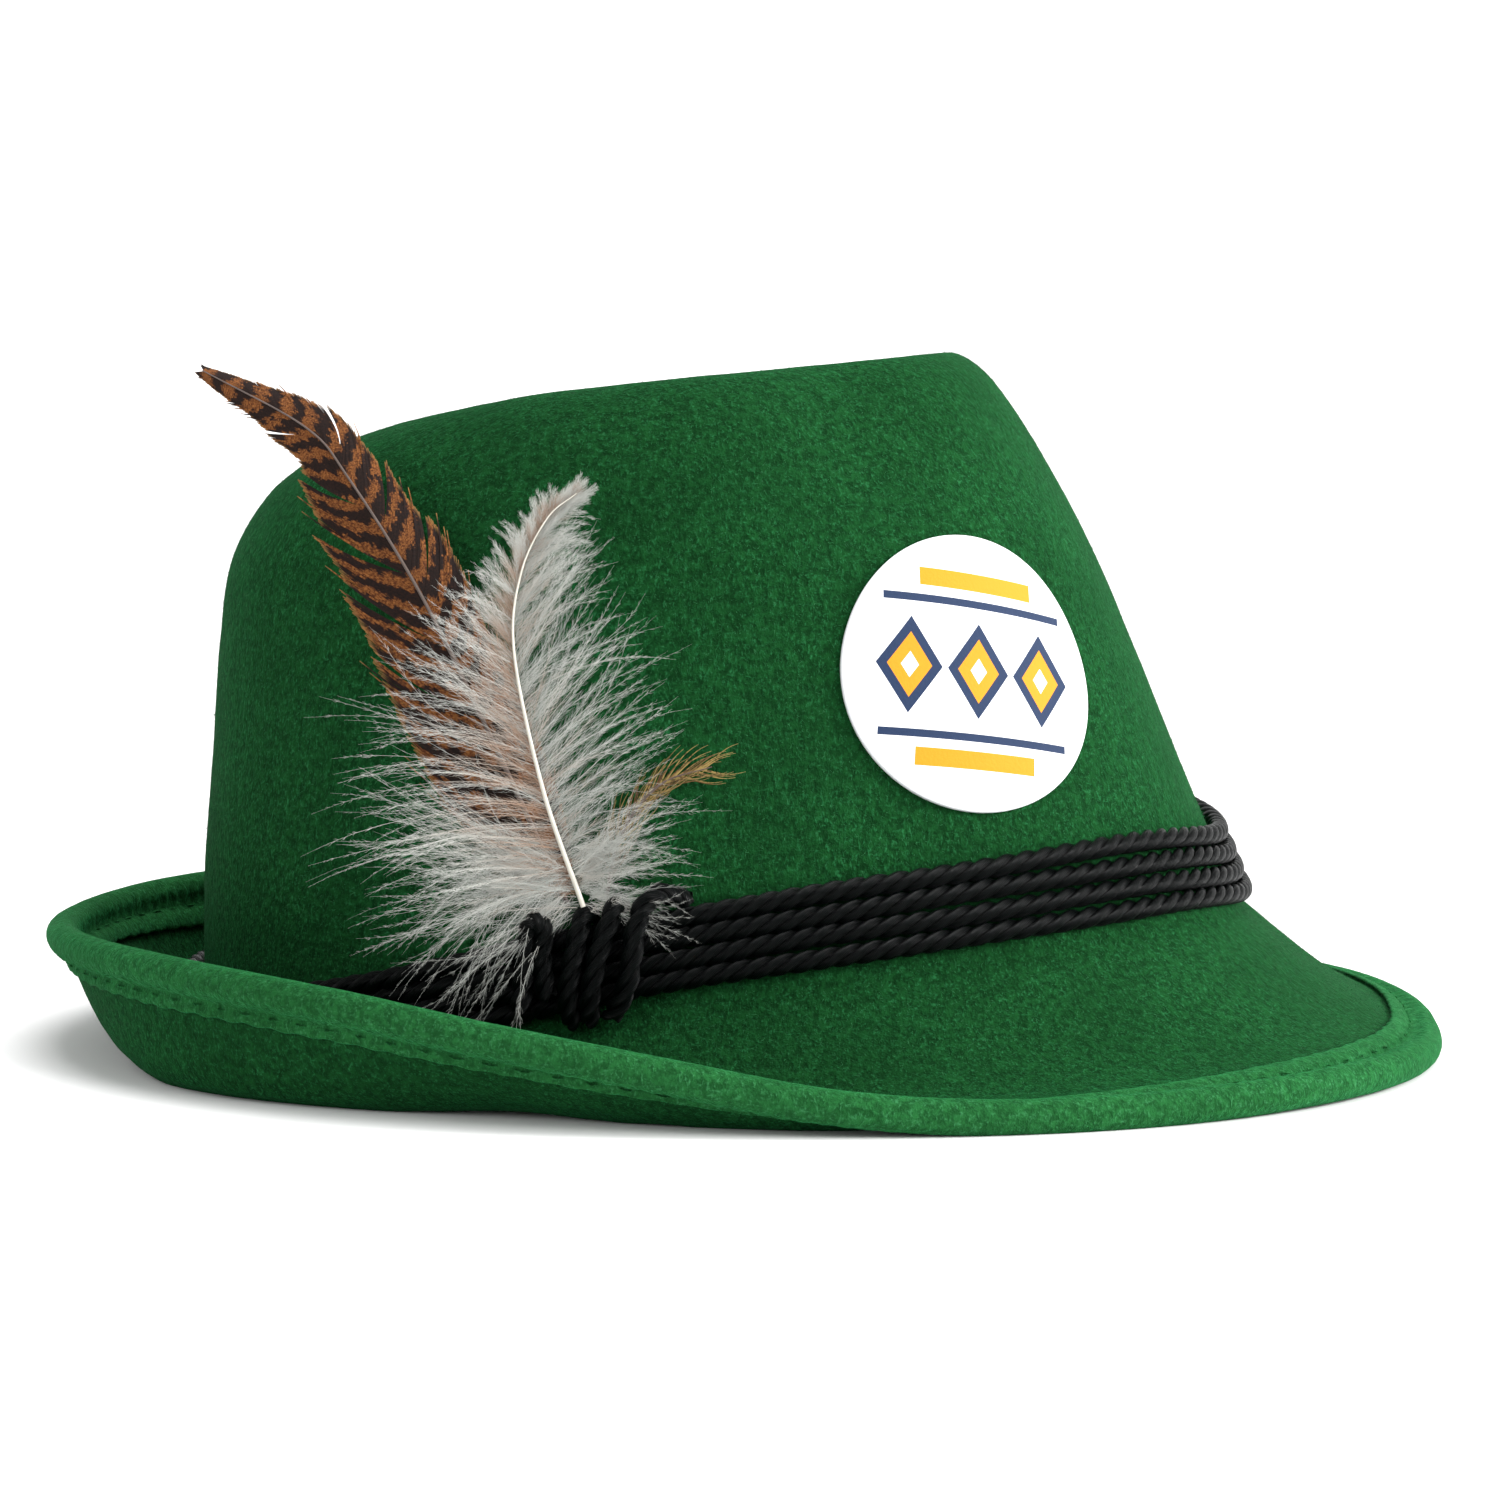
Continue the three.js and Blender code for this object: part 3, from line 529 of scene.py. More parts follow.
def felt_grid():
    """Rows of points from the crease out to the brim's edge, each row going round the hat."""
    angle = full_turn(FELT_COLUMNS)
    angle = np.where(angle > np.pi, angle - 2 * np.pi, angle)
    rows = [top_point(angle, share) for share in np.linspace(1, 0, TOP_ROWS, endpoint=False)]
    foot = FOLD_ROUND / (ridge_z(angle) - fold_z(angle))
    for share in np.linspace(0, 1, WALL_ROWS, endpoint=False):
        rows.append(wall_point(angle, foot + (1 - foot) * (1 - share**WALL_CROWDING)))
    rows += [corner_point(angle, share) for share in np.linspace(0, 1, CORNER_ROWS, endpoint=False)]
    rows += [brim_point(angle, share) for share in np.linspace(FOLD_ROUND / BRIM_SLANT, 1, BRIM_ROWS)]
    return np.array(rows)


def relax(points, low, high, times):
    """Softens the rows from low to high, as steam and handling do."""
    for _ in range(times):
        middle = (points[low - 1:high - 1] + points[low + 1:high + 1]) / 2
        points[low:high] = points[low:high] * 0.5 + middle * 0.5
    return points


def build_felt(material):
    """The felt's two faces as one sheet, turned over at the brim's edge."""
    outer = felt_grid()
    outer = relax(outer, TOP_ROWS - 6, TOP_ROWS + 8, 8)
    outer = relax(outer, 1, 8, 4)
    normals = grid_normals(outer)
    normals[0] = (0, 0, 1)
    free = smoothstep(outer[..., 2], LUMPS_LOW, LUMPS_HIGH)
    lumps = sum(ripple(outer, size, seed) * height for size, height, seed in FELT_LUMPS)
    outer = outer + normals * (lumps * free)[..., None]
    outer[..., 2] = np.maximum(outer[..., 2], FELT)
    inner = outer - normals * FELT
    inner[..., 2] = np.maximum(inner[..., 2], 0.0)
    rows, columns = outer.shape[:2]
    inner = inner[::2] if rows % 2 else np.concatenate([inner[::2], inner[-1:]])
    points = np.concatenate([outer, inner[::-1]])
    faces = grid_faces(len(points), columns, wrap_columns=True)[:, ::-1]
    piece = make_mesh("felt_shell", points, faces, material)
    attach(piece, "root")
    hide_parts("felt_body")
    return outer, normals


def triangle_area(a, b, c):
    return np.linalg.norm(np.cross(b - a, c - a), axis=-1) / 2


# The loose fibres, in millimetres. Their lift is the rise for each step along the felt.
NAP_COUNT = 90000
NAP_LENGTH, NAP_HALF_WIDTH = (0.5, 1.35), (0.025, 0.05)
NAP_LIFT, NAP_LIFT_STANDING, NAP_STANDING_SHARE = 0.55, 1.5, 0.2
NAP_LIFT_SPREAD = (0.3, 1.3)
NAP_COMBED = (0.5, 0.0, -0.9)
NAP_LOWEST = 0.2


def build_nap(outer, normals, material):
    """Short fibres standing off the felt's outer face, each a thin sliver."""
    rng = np.random.default_rng(11)
    count = NAP_COUNT
    rows, columns = outer.shape[:2]
    quads = grid_faces(rows, columns, wrap_columns=True)
    flat, flat_normals = outer.reshape(-1, 3), normals.reshape(-1, 3)
    a, b, c, d = (flat[quads[:, k]] for k in range(4))
    area = triangle_area(a, b, c) + triangle_area(a, c, d)
    chosen = rng.choice(len(quads), size=count, p=area / area.sum())
    u, v = rng.random((2, count, 1))
    corner = [flat[quads[chosen, k]] for k in range(4)]
    root = (corner[0] * (1 - u) + corner[1] * u) * (1 - v) + (corner[3] * (1 - u) + corner[2] * u) * v
    normal = flat_normals[quads[chosen, 0]]
    swirl = unit(rng.normal(size=(count, 3)) + np.array(NAP_COMBED))
    lying = unit(swirl - normal * (swirl * normal).sum(1, keepdims=True))
    lift = np.where(rng.random((count, 1)) < NAP_STANDING_SHARE, NAP_LIFT_STANDING, NAP_LIFT)
    lift = lift * rng.uniform(*NAP_LIFT_SPREAD, (count, 1))
    length = rng.uniform(*NAP_LENGTH, (count, 1))
    tip = root + unit(lying + normal * lift) * length
    side = unit(np.cross(lying, normal)) * rng.uniform(*NAP_HALF_WIDTH, (count, 1))
    points = np.stack([root - side, root + side, tip], axis=1).reshape(-1, 3)
    points[:, 2] = np.maximum(points[:, 2], NAP_LOWEST)
    faces = np.arange(count * 3).reshape(-1, 3)
    piece = make_mesh("felt_nap", points, faces, material, smooth=False)
    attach(piece, "root")


# The binding

BINDING_COLUMNS = 720
BEAD_STEPS = 18
# Spacings along the edge in millimetres, of the raw edge's waves and of the gathers beside the bead
SCALLOP_SPACING, GATHER_SPACING = 6.3, 3.7
# How far the flange's raw edge is cut back, how it waves and wanders, in steps between rows
RAW_EDGE, RAW_WAVE, RAW_WANDER = 0.30, 0.13, 0.22
# The flange's section, raw edge first: the row of the brim, the height as a share of BINDING, and at
# the raw edge how far it is drawn back, in steps between rows. The edge is undercut.
UPPER_FLANGE = [
    (0, 0.025, 0.60), (0, 0.45, 0.50), (0, 0.60, -0.12), (0, 0.92, 0.15),
    (1, 1.08, None), (2, 1.12, None), (3, 0.85, None), (4, 0.20, None),
]
LOWER_FLANGE = [
    (2, 0.025, 0.70), (2, 0.48, 0.60), (2, 0.62, -0.12), (2, 0.88, 0.15),
    (3, 0.85, None), (4, 0.20, None),
]
# How many rows of the brim the flange covers, and how far before them one more is, for their slope
FLANGE_ROWS, FLANGE_LEAD = 7, 0.03
# The gathers beside the bead, in millimetres: all round, added behind, and its share on the underside
TUCK, TUCK_BEHIND, TUCK_UNDER = 0.16, 0.34, 0.25


def build_binding(material):
    """The felt strip rolled over the brim's edge: a bead with a stitched flange on both faces."""
    columns = BINDING_COLUMNS
    angle = full_turn(columns)
    flange_share = FLANGE / BRIM_SLANT
    shares = np.linspace(1 - flange_share, 1, FLANGE_ROWS)
    shares = np.concatenate([[1 - flange_share - FLANGE_LEAD], shares])
    rows = np.array([brim_point(angle, share) for share in shares])
    normals = grid_normals(rows)[1:]
    rows = rows[1:]
    edge, edge_normal = rows[-1], normals[-1]
    out = unit(rows[-1] - rows[-2])
    middle = edge - edge_normal * (FELT / 2)
    run = run_along(edge)
    length = run[-1] + np.linalg.norm(edge[0] - edge[-1])
    scallops = round(length / SCALLOP_SPACING)
    wave = np.sin(2 * np.pi * scallops * run / length)
    folds = round(length / GATHER_SPACING)
    gathers = np.sin(2 * np.pi * folds * run / length + 2.2 * ripple(edge, 24.0, 7))
    behind = smoothstep(-np.cos(angle), -0.1, 0.8)
    wobble = ripple(edge, 14.0, 4)
    face = CLEARANCE + BINDING
    neck = math.asin(min((FELT / 2 + face) / BEAD_RADIUS, 0.95))
    raw = RAW_EDGE + RAW_WAVE * wave + RAW_WANDER * wobble

    def flange_row(k, height, drawn, side):
        lift = BINDING * height if side > 0 else -FELT - BINDING * height
        points = rows[k] + normals[k] * lift
        points[:, 2] = np.maximum(points[:, 2], 0.02)
        if drawn is not None:
            points = points + (rows[k + 1] - rows[k]) * (raw + drawn)[:, None]
        return points

    def bead_row(turn):
        swell = 1 + 0.018 * wobble + 0.012 * ripple(edge, 4.0, 9)
        near_neck = math.exp(-((abs(turn) - (math.pi - neck)) / 0.42) ** 2)
        tuck = gathers * near_neck * (TUCK + TUCK_BEHIND * behind * (1 if turn > 0 else TUCK_UNDER))
        radius = BEAD_RADIUS * swell + tuck
        along = BEAD_OVERHANG + radius * math.cos(turn)
        across = radius * math.sin(turn)
        points = middle + out * along[:, None] + edge_normal * across[:, None]
        points[:, 2] = np.maximum(points[:, 2], 0.0)
        return points

    turns = [(math.pi - neck * 0.82) * (1 - 2 * k / BEAD_STEPS) for k in range(BEAD_STEPS + 1)]
    section = [flange_row(*row, 1) for row in UPPER_FLANGE]
    section += [bead_row(turn) for turn in turns]
    section += [flange_row(*row, -1) for row in reversed(LOWER_FLANGE)]
    faces = grid_faces(len(section), columns, wrap_rows=True, wrap_columns=True)
    piece = make_mesh("binding_roll", np.array(section), faces, material)
    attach(piece, "root")
    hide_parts("brim_binding")
    build_stitches(rows, normals, run, length, scallops, material)


# A stitch lies along the edge: places beside its middle and heights over the groove, in millimetres
STITCH_RUN = [(-1.25, 0.05), (-0.4, 0.42), (0.4, 0.42), (1.25, 0.05)]
STITCH_SIDES, STITCH_RADIUS = 5, 0.2
STITCH_START = 0.3
# How near the stitches lie to the bead, as a share from row 3 of the brim to row 4
STITCH_ROW = 0.55


def build_stitches(rows, normals, run, length, count, material):
    """One thread stitch in each scallop, sunk in the groove beside the bead, on both faces."""
    columns = len(run)
    points, faces = [], []
    for sign, base in ((1, 0.0), (-1, -FELT)):
        for k in range(count):
            centre = (k + STITCH_START) * length / count
            first = len(points)
            for place, height in STITCH_RUN:
                i = int(np.searchsorted(run, (centre + place) % length)) % columns
                here = rows[4][i] * STITCH_ROW + rows[3][i] * (1 - STITCH_ROW)
                normal = normals[4][i] * sign
                along = unit(rows[4][(i + 1) % columns] - rows[4][i - 1])
                side = np.cross(along, normal)
                middle = here + normals[4][i] * base + normal * (BINDING * 0.40 + height)
                for turn in range(STITCH_SIDES):
                    a = turn * 2 * math.pi / STITCH_SIDES
                    outward = normal * math.cos(a) + side * math.sin(a)
                    points.append(middle + outward * STITCH_RADIUS)
            faces += grid_faces(len(STITCH_RUN), STITCH_SIDES, wrap_columns=True, first=first).tolist()
    points = np.array(points)
    points[:, 2] = np.maximum(points[:, 2], 0.05)
    piece = make_mesh("binding_stitches", points, faces, material)
    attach(piece, "root")


# Cords

# The laid strands are a little fuller than the solids' tubes, so that neighbouring turns touch.
# Their places and radii are shares of TWIST_RADIUS. A turn has TURN_TWISTS twists.
TWIST_RADIUS = 2.03
STRANDS, STRAND_SIDES = 3, 9
STRAND_PLACE, STRAND_RADIUS = 0.53, 0.465
TURN_COLUMNS, TURN_TWISTS, TURN_START = 920, 46, 1.9
# How the turns wander up and down, and behind the crown settle closer together, in millimetres
WANDER = 0.22
SETTLE_FIRST, SETTLE_NEXT = 0.4, 0.75


def rope(centres, first, second, turns, closed, start=0.0):
    """Strands laid round a path, with their UVs: u along the strand and v round it."""
    strands, sides, radius = STRANDS, STRAND_SIDES, TWIST_RADIUS
    count = len(centres)
    share = np.arange(count) / (count if closed else count - 1)
    run = run_along(centres)
    points, faces, uvs = [], [], []
    for strand in range(strands):
        phase = 2 * np.pi * (turns * share + strand / strands) + start
        radial = first * np.cos(phase)[:, None] + second * np.sin(phase)[:, None]
        spine = centres + radial * radius * STRAND_PLACE
        if closed:
            tangent = unit(np.roll(spine, -1, axis=0) - np.roll(spine, 1, axis=0))
        else:
            tangent = unit(np.gradient(spine, axis=0))
        sideways = unit(np.cross(tangent, radial))
        base = sum(len(block) for block in points)
        ring = []
        for side in range(sides):
            a = 2 * np.pi * side / sides
            ring.append(spine + (radial * math.cos(a) + sideways * math.sin(a)) * radius * STRAND_RADIUS)
        block = np.stack(ring, axis=1).reshape(-1, 3)
        points.append(block)
        faces.append(grid_faces(count, sides, wrap_rows=closed, wrap_columns=True, first=base))
        u = np.repeat(run, sides)
        v = np.tile(np.abs(np.arange(sides) * 2 / sides - 1), count)
        uvs.append(np.stack([u, v], axis=1))
        if not closed:
            ends = [base + np.arange(sides), base + (count - 1) * sides + np.arange(sides)]
            for end in ends:
                hub = np.full(sides - 3, end[0])
                faces.append(np.stack([hub, end[1:-2], end[2:-1], end[3:]], axis=1))
    return np.concatenate(points), np.concatenate(faces), np.concatenate(uvs)


def cord_rise(turn):
    """The height of a turn of the cord above the fold, measured up the wall."""
    return CORD_SEAT + turn * (2 * CORD_RADIUS + CLEARANCE)


def build_cord_turns(material):
    """The turns of the cord, each a closed ring. Behind the crown every other one lies further out."""
    angle = full_turn(TURN_COLUMNS)
    lift = CORD_RADIUS + CLEARANCE * 0.6
    behind = smoothstep(-np.cos(angle), 0.25, 0.85)
    for turn in range(CORD_TURNS):
        rise = cord_rise(turn)
        wander = WANDER * np.sin(angle * 3 + turn * 2.1) * np.sin(angle * 7 + turn)
        settle = behind * (SETTLE_FIRST + turn * SETTLE_NEXT)
        centres = off_wall(angle, rise + wander - settle, lift + behind * (turn % 2))
        level = rise / (ridge_z(angle) - fold_z(angle))
        normal = wall_normal(angle, level)
        tangent = unit(np.roll(centres, -1, axis=0) - np.roll(centres, 1, axis=0))
        upward = unit(np.cross(normal, tangent))
        points, faces, uvs = rope(centres, normal, upward, TURN_TWISTS, True, turn * TURN_START)
        piece = make_mesh(f"twisted_cord_{turn + 1}", points, faces, material, uvs)
        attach(piece, "root")
        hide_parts(f"cord_turn_{turn + 1}")


def smooth_path(knots, count):
    """Points on a smooth curve through knots."""
    knots = np.array(knots, float)
    padded = np.concatenate([[2 * knots[0] - knots[1]], knots, [2 * knots[-1] - knots[-2]]])
    place = np.linspace(0, len(knots) - 1, count)
    i = np.minimum(place.astype(int), len(knots) - 2)
    t = (place - i)[:, None]
    p0, p1, p2, p3 = (padded[i + k] for k in range(4))
    linear = p2 - p0
    square = 2 * p0 - 5 * p1 + 4 * p2 - p3
    cubic = 3 * p1 - p0 - 3 * p2 + p3
    return 0.5 * (2 * p1 + linear * t + square * t**2 + cubic * t**3)


def carried_frame(path, start):
    """Two directions square to a path, carried along it without twist."""
    tangents = unit(np.gradient(path, axis=0))
    first = np.empty_like(path)
    current = np.asarray(start, float)
    for i, tangent in enumerate(tangents):
        current = current - tangent * np.dot(current, tangent)
        current = current / np.linalg.norm(current)
        first[i] = current
    return first, np.cross(tangents, first)


# The top of the four turns, and of the windings' middle lines over them, above the fold
BAND_TOP = cord_rise(CORD_TURNS - 1) + CORD_RADIUS
WRAP_TOP = BAND_TOP + CLEARANCE + CORD_RADIUS


def build_cord_piece(name, node, knots, turns, material):
    """A length of the cord through knots, twisted so many times."""
    path = smooth_path(knots, 90)
    first, second = carried_frame(path, (0, -1, 0))
    points, faces, uvs = rope(path, first, second, turns, False)
    piece = make_mesh(name, points, faces, material, uvs)
    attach(piece, "root")
    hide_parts(node)


# Each winding's run over the band: millimetres along the crown from its place, rise and lift
WINDINGS = [
    dict(name="winding_1", node="cord_wrap_1", turns=2.6, run=[
        (15.0, 16.6, 1.9), (12.6, 18.0, 2.8), (9.8, 18.9, 4.5), (7.4, 17.2, 6.1), (6.0, 13.4, 6.6),
        (5.4, 8.4, 6.7), (4.6, 4.0, 6.5), (3.0, 0.6, 5.4), (1.4, -1.2, 3.9)]),
    dict(name="winding_2", node="cord_wrap_2", turns=2.4, run=[
        (6.6, 18.4, 1.8), (6.4, 18.8, 4.0), (5.8, 16.6, 5.9), (4.3, 12.4, 6.5), (3.2, 8.2, 6.7),
        (2.4, 3.8, 6.5), (2.0, 0.4, 5.4), (2.2, -1.3, 3.9)]),
    dict(name="winding_3", node="cord_wrap_3", turns=2.4, run=[
        (5.4, 17.6, 1.8), (5.1, 18.0, 4.0), (4.5, 16.0, 5.8), (3.7, 12.0, 6.3), (3.0, 8.0, 6.5),
        (2.6, 4.0, 6.3), (2.8, 0.6, 5.2), (3.4, -1.2, 3.9)]),
    dict(name="cord_tail", node="cord_end", turns=3.4, run=[
        (-1.6, 3.0, 5.9), (-1.2, 7.6, 6.0), (-0.6, 12.4, 6.2), (-0.6, 16.0, 6.6), (0.7, 18.3, 7.0),
        (2.2, 16.6, 6.7), (1.9, 12.6, 6.0), (2.3, 8.4, 5.9), (3.1, 4.2, 5.8)]),
]


def build_windings(material):
    """The cord's end, wound over the band and tucked away, with one small loop."""
    spacing = (2 * CORD_RADIUS + 2 * CLEARANCE) / HALF_WIDTH
    for place, winding in enumerate(WINDINGS):
        angle = WRAP_ANGLE * DEGREE + ((WRAP_TURNS - 1) / 2 - place) * spacing
        knots = [
            off_wall(np.float64(angle + along / HALF_WIDTH), rise, lift)
            for along, rise, lift in winding["run"]
        ]
        build_cord_piece(winding["name"], winding["node"], knots, winding["turns"], material)


# Feathers

BARRED_LENGTH = 124.0
PLUME_LENGTH = 84.0
HACKLE_LENGTH = 34.0
# Where each quill starts: degrees round the crown, millimetres off the wall and below the windings' top
BARRED_PLACE = (-103.5, 2.2, 0.0)
PLUME_PLACE = (-101.2, 4.4, 0.7)
HACKLE_PLACE = (-98.8, 2.2, 0.0)
# Each quill's route as shares of its length: towards the back, up, and inwards
BARRED_ROUTE = [
    (0.000, 0.000, 0.000), (0.108, 0.225, 0.030), (0.228, 0.450, 0.080),
    (0.342, 0.620, 0.120), (0.410, 0.695, 0.138), (0.569, 0.779, 0.160),
]
PLUME_ROUTE = [
    (0.000, 0.000, 0.000), (0.087, 0.250, 0.010), (0.152, 0.541, 0.040),
    (0.141, 0.708, 0.070), (0.088, 0.826, 0.100), (0.026, 0.880, 0.115),
]
HACKLE_ROUTE = [
    (0.000, 0.000, 0.000), (-0.080, 0.340, 0.035), (-0.280, 0.600, 0.070), (-0.560, 0.700, 0.085),
]


# The feathers' faces look to the wearer's right, and a little up
FEATHER_FACING = (0.0, -1.0, 0.25)


def feather_base(angle, lift, drop):
    """Where a quill starts, on the tops of the windings."""
    return off_wall(np.float64(angle * DEGREE), WRAP_TOP + CORD_RADIUS + CLEARANCE - drop, lift)


def feather_path(base, route, length, count=200):
    """Points at even steps along a feather's quill."""
    knots = [base + np.array([-back, inward, up]) * length for back, up, inward in route]
    path = smooth_path(knots, count)
    run = run_along(path)
    even = np.linspace(0, run[-1], count)
    return np.stack([np.interp(even, run, path[:, k]) for k in range(3)], axis=1)


def feather_frames(path):
    """The directions along a quill, across its vane and out of its face."""
    tangent = unit(np.gradient(path, axis=0))
    across = unit(np.cross(tangent, np.array(FEATHER_FACING)))
    return tangent, across, np.cross(across, tangent)


class Strips:
    """Gathers many thin ribbons into one mesh."""

    def __init__(self):
        self.points, self.faces, self.uvs, self.count = [], [], [], 0

    def add(self, spine, side, widths, uvs):
        n = len(spine)
        edge = np.broadcast_to(side, spine.shape) * np.asarray(widths)[:, None]
        self.points.append(np.stack([spine - edge, spine + edge], axis=1).reshape(-1, 3))
        i = np.arange(n - 1) * 2 + self.count
        self.faces.append(np.stack([i, i + 1, i + 3, i + 2], axis=1))
        self.uvs.append(np.repeat(uvs, 2, axis=0))
        self.count += n * 2

    def make(self, name, material):
        points, faces, uvs = (np.concatenate(block) for block in (self.points, self.faces, self.uvs))
        return make_mesh(name, points, faces, material, uvs)


def quill_mesh(name, path, radii, material, sides=8):
    """A tapered quill along a path."""
    _, across, face = feather_frames(path)
    rings = []
    for side in range(sides):
        a = 2 * math.pi * side / sides
        rings.append(path + (across * math.cos(a) + face * math.sin(a)) * radii[:, None])
    points = np.stack(rings, axis=1).reshape(-1, 3)
    piece = make_mesh(name, points, grid_faces(len(path), sides, wrap_columns=True), material)
    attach(piece, "root")


# Half widths of the vane beside each part of the quill, in millimetres
VANE_TABLE = table(
    "along left right",
    (0.00, 6.0, 3.0),
    (0.05, 12.3, 6.0),
    (0.15, 13.6, 7.6),
    (0.32, 12.6, 7.8),
    (0.42, 11.8, 8.8),
    (0.57, 9.2, 6.9),
    (0.70, 5.8, 5.6),
    (0.77, 5.0, 4.8),
    (0.85, 3.3, 3.1),
    (0.92, 2.3, 2.1),
    (1.00, 0.8, 0.7),
)
# Where the vane parts on each side of the quill, and how far, in radians
VANE_SIDES = [
    dict(side=-1, name="left", parts=[
        (0.0, 0.03), (0.30, 0.04), (0.42, 0.13), (0.54, 0.12), (0.66, 0.07), (0.80, 0.04)]),
    dict(side=1, name="right", parts=[
        (0.0, 0.03), (0.28, 0.03), (0.50, 0.14), (0.62, 0.08), (0.74, 0.06), (0.88, 0.03)]),
]
BARRED_BARBS, BARB_POINTS = 640, 8
# The barbs' lean from the quill in radians, at its foot and how much less at its tip
BARB_LEAN, BARB_LEAN_LOSS = 0.62, 0.20
# How many barbs are broken out of line, and how much longer they are
STRAY_SHARE, STRAY_LENGTH = 0.02, 1.16


def beside_path(path, across, stations, outward):
    """Points at shares of a path's length and distances to its side. They run on past its end."""
    place = np.asarray(stations) * (len(path) - 1)
    i = np.clip(place.astype(int), 0, len(path) - 2)
    centre = path[i] + (path[i + 1] - path[i]) * (place - i)[:, None]
    return centre + across[i] * np.asarray(outward)[:, None]


def build_barred(material, quill):
    """The long feather: barbs side by side, in groups that part here and there."""
    rng = random.Random(21)
    count = 260
    path = feather_path(feather_base(*BARRED_PLACE), BARRED_ROUTE, BARRED_LENGTH, count)
    run = run_along(path)[-1]
    tangent, across, face = feather_frames(path)
    strips = Strips()
    t = np.linspace(0, 1, BARB_POINTS)
    for vane in VANE_SIDES:
        side = vane["side"]
        starts = [start for start, _ in vane["parts"]] + [1.0]
        for k in range(BARRED_BARBS):
            share = 0.012 + 0.985 * k / BARRED_BARBS
            i = min(int(share * (count - 1)), count - 1)
            group = sum(share >= start for start in starts) - 1
            local = (share - starts[group]) / (starts[group + 1] - starts[group])
            opening = vane["parts"][group][1] * (local**2 - 0.35)
            lean = BARB_LEAN - BARB_LEAN_LOSS * share + opening + rng.gauss(0, 0.008)
            half = float(read_table(VANE_TABLE, "along", share, vane["name"]))
            length = half / math.sin(lean - opening) * rng.uniform(0.96, 1.03)
            if rng.random() < STRAY_SHARE:
                length *= STRAY_LENGTH
            outward = side * math.sin(lean) * length * (t + 0.30 * t * (1 - t))
            forward = math.cos(lean) * length * (t - 0.14 * t * (1 - t))
            cup = 0.45 - 0.9 * t * t + rng.uniform(-0.05, 0.05)
            spine = beside_path(path, across, share + forward / run, outward) + face[i] * cup[:, None]
            width = 0.20 * (1 - 0.65 * t**3)
            beside = tangent[i] * math.sin(lean) - across[i] * side * math.cos(lean)
            shingle = unit(beside + face[i] * 0.4)
            uvs = np.stack([share + 0.045 * t, side * t], axis=1)
            strips.add(spine, shingle, width, uvs)
    piece = strips.make("barred_vane", material)
    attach(piece, "root")
    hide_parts("feather_barred")
    radii = np.linspace(0.50, 0.10, count)
    quill_mesh("barred_quill", path + face * 0.62, radii, quill)


# Barbs of the plume by their place on the quill: length in millimetres and lean in degrees
PLUME_TABLE = table(
    "along left right left_lean right_lean droop",
    (0.00, 30, 22, 84, 88, 0.20),
    (0.12, 38, 26, 66, 70, 0.28),
    (0.25, 40, 30, 52, 61, 0.26),
    (0.38, 33, 31, 43, 53, 0.16),
    (0.50, 24, 29, 38, 46, 0.10),
    (0.62, 16, 25, 38, 42, 0.08),
    (0.75, 10, 17, 38, 38, 0.06),
    (0.88, 7, 9, 30, 32, 0.03),
    (1.00, 5, 5, 12, 14, 0.00),
)


PLUME_BARBS, PLUME_CLUMP, PLUME_BARBULES = 225, 2, 72
TUFT_BARBS, TUFT_BARBULES = 210, 66
BARB_HALF_WIDTH = 0.052
BARBULE_HALF_WIDTHS = (0.017, 0.015, 0.004)


def down_barb(strips, rng, root, heading, face, length, bend, lift, tag, barbules):
    """One curved barb of down with soft barbules, longest near its foot."""
    count = 11
    t = np.linspace(0, 1, count)[:, None]
    turn = np.cross(face, heading)
    wave, speed, phase = rng.uniform(0.0, 0.05), rng.uniform(3, 8), rng.uniform(0, 6)
    spine = root + length * (
        heading * (t - 0.12 * abs(bend) * t * t)
        + turn * (bend * t * t + wave * t * np.sin(t * speed + phase))
        + face * (lift * t + wave * t * np.cos(t * speed + phase))
    )
    tangent = unit(np.gradient(spine, axis=0))
    side = unit(np.cross(tangent, face))
    uvs = np.stack([t[:, 0], np.full(count, tag)], axis=1)
    strips.add(spine, side, BARB_HALF_WIDTH * (1 - 0.85 * t[:, 0]), uvs)
    for _ in range(barbules):
        place = 0.94 * rng.random() ** 1.25
        i = min(int(place * (count - 1)), count - 2)
        start = spine[i] + (spine[i + 1] - spine[i]) * (place * (count - 1) - i)
        sign = rng.choice((-1, 1))
        hair = unit(
            tangent[i] * rng.uniform(0.7, 1.3) + side[i] * sign * rng.uniform(0.25, 0.8)
            + face * rng.uniform(-0.35, 0.35)
        )
        reach = (0.6 + 2.5 * (1 - place)) * rng.uniform(0.5, 1.2)
        middle = start + hair * reach * 0.5
        tip = start + unit(hair + tangent[i] * 0.5) * reach
        thin = np.cross(hair, face)
        uvs = np.array([[place, tag]] * 3)
        strips.add(np.array([start, middle, tip]), thin, BARBULE_HALF_WIDTHS, uvs)


def turned(tangent, across, degrees):
    """A direction so many degrees from tangent, towards across."""
    return tangent * math.cos(degrees * DEGREE) + across * math.sin(degrees * DEGREE)


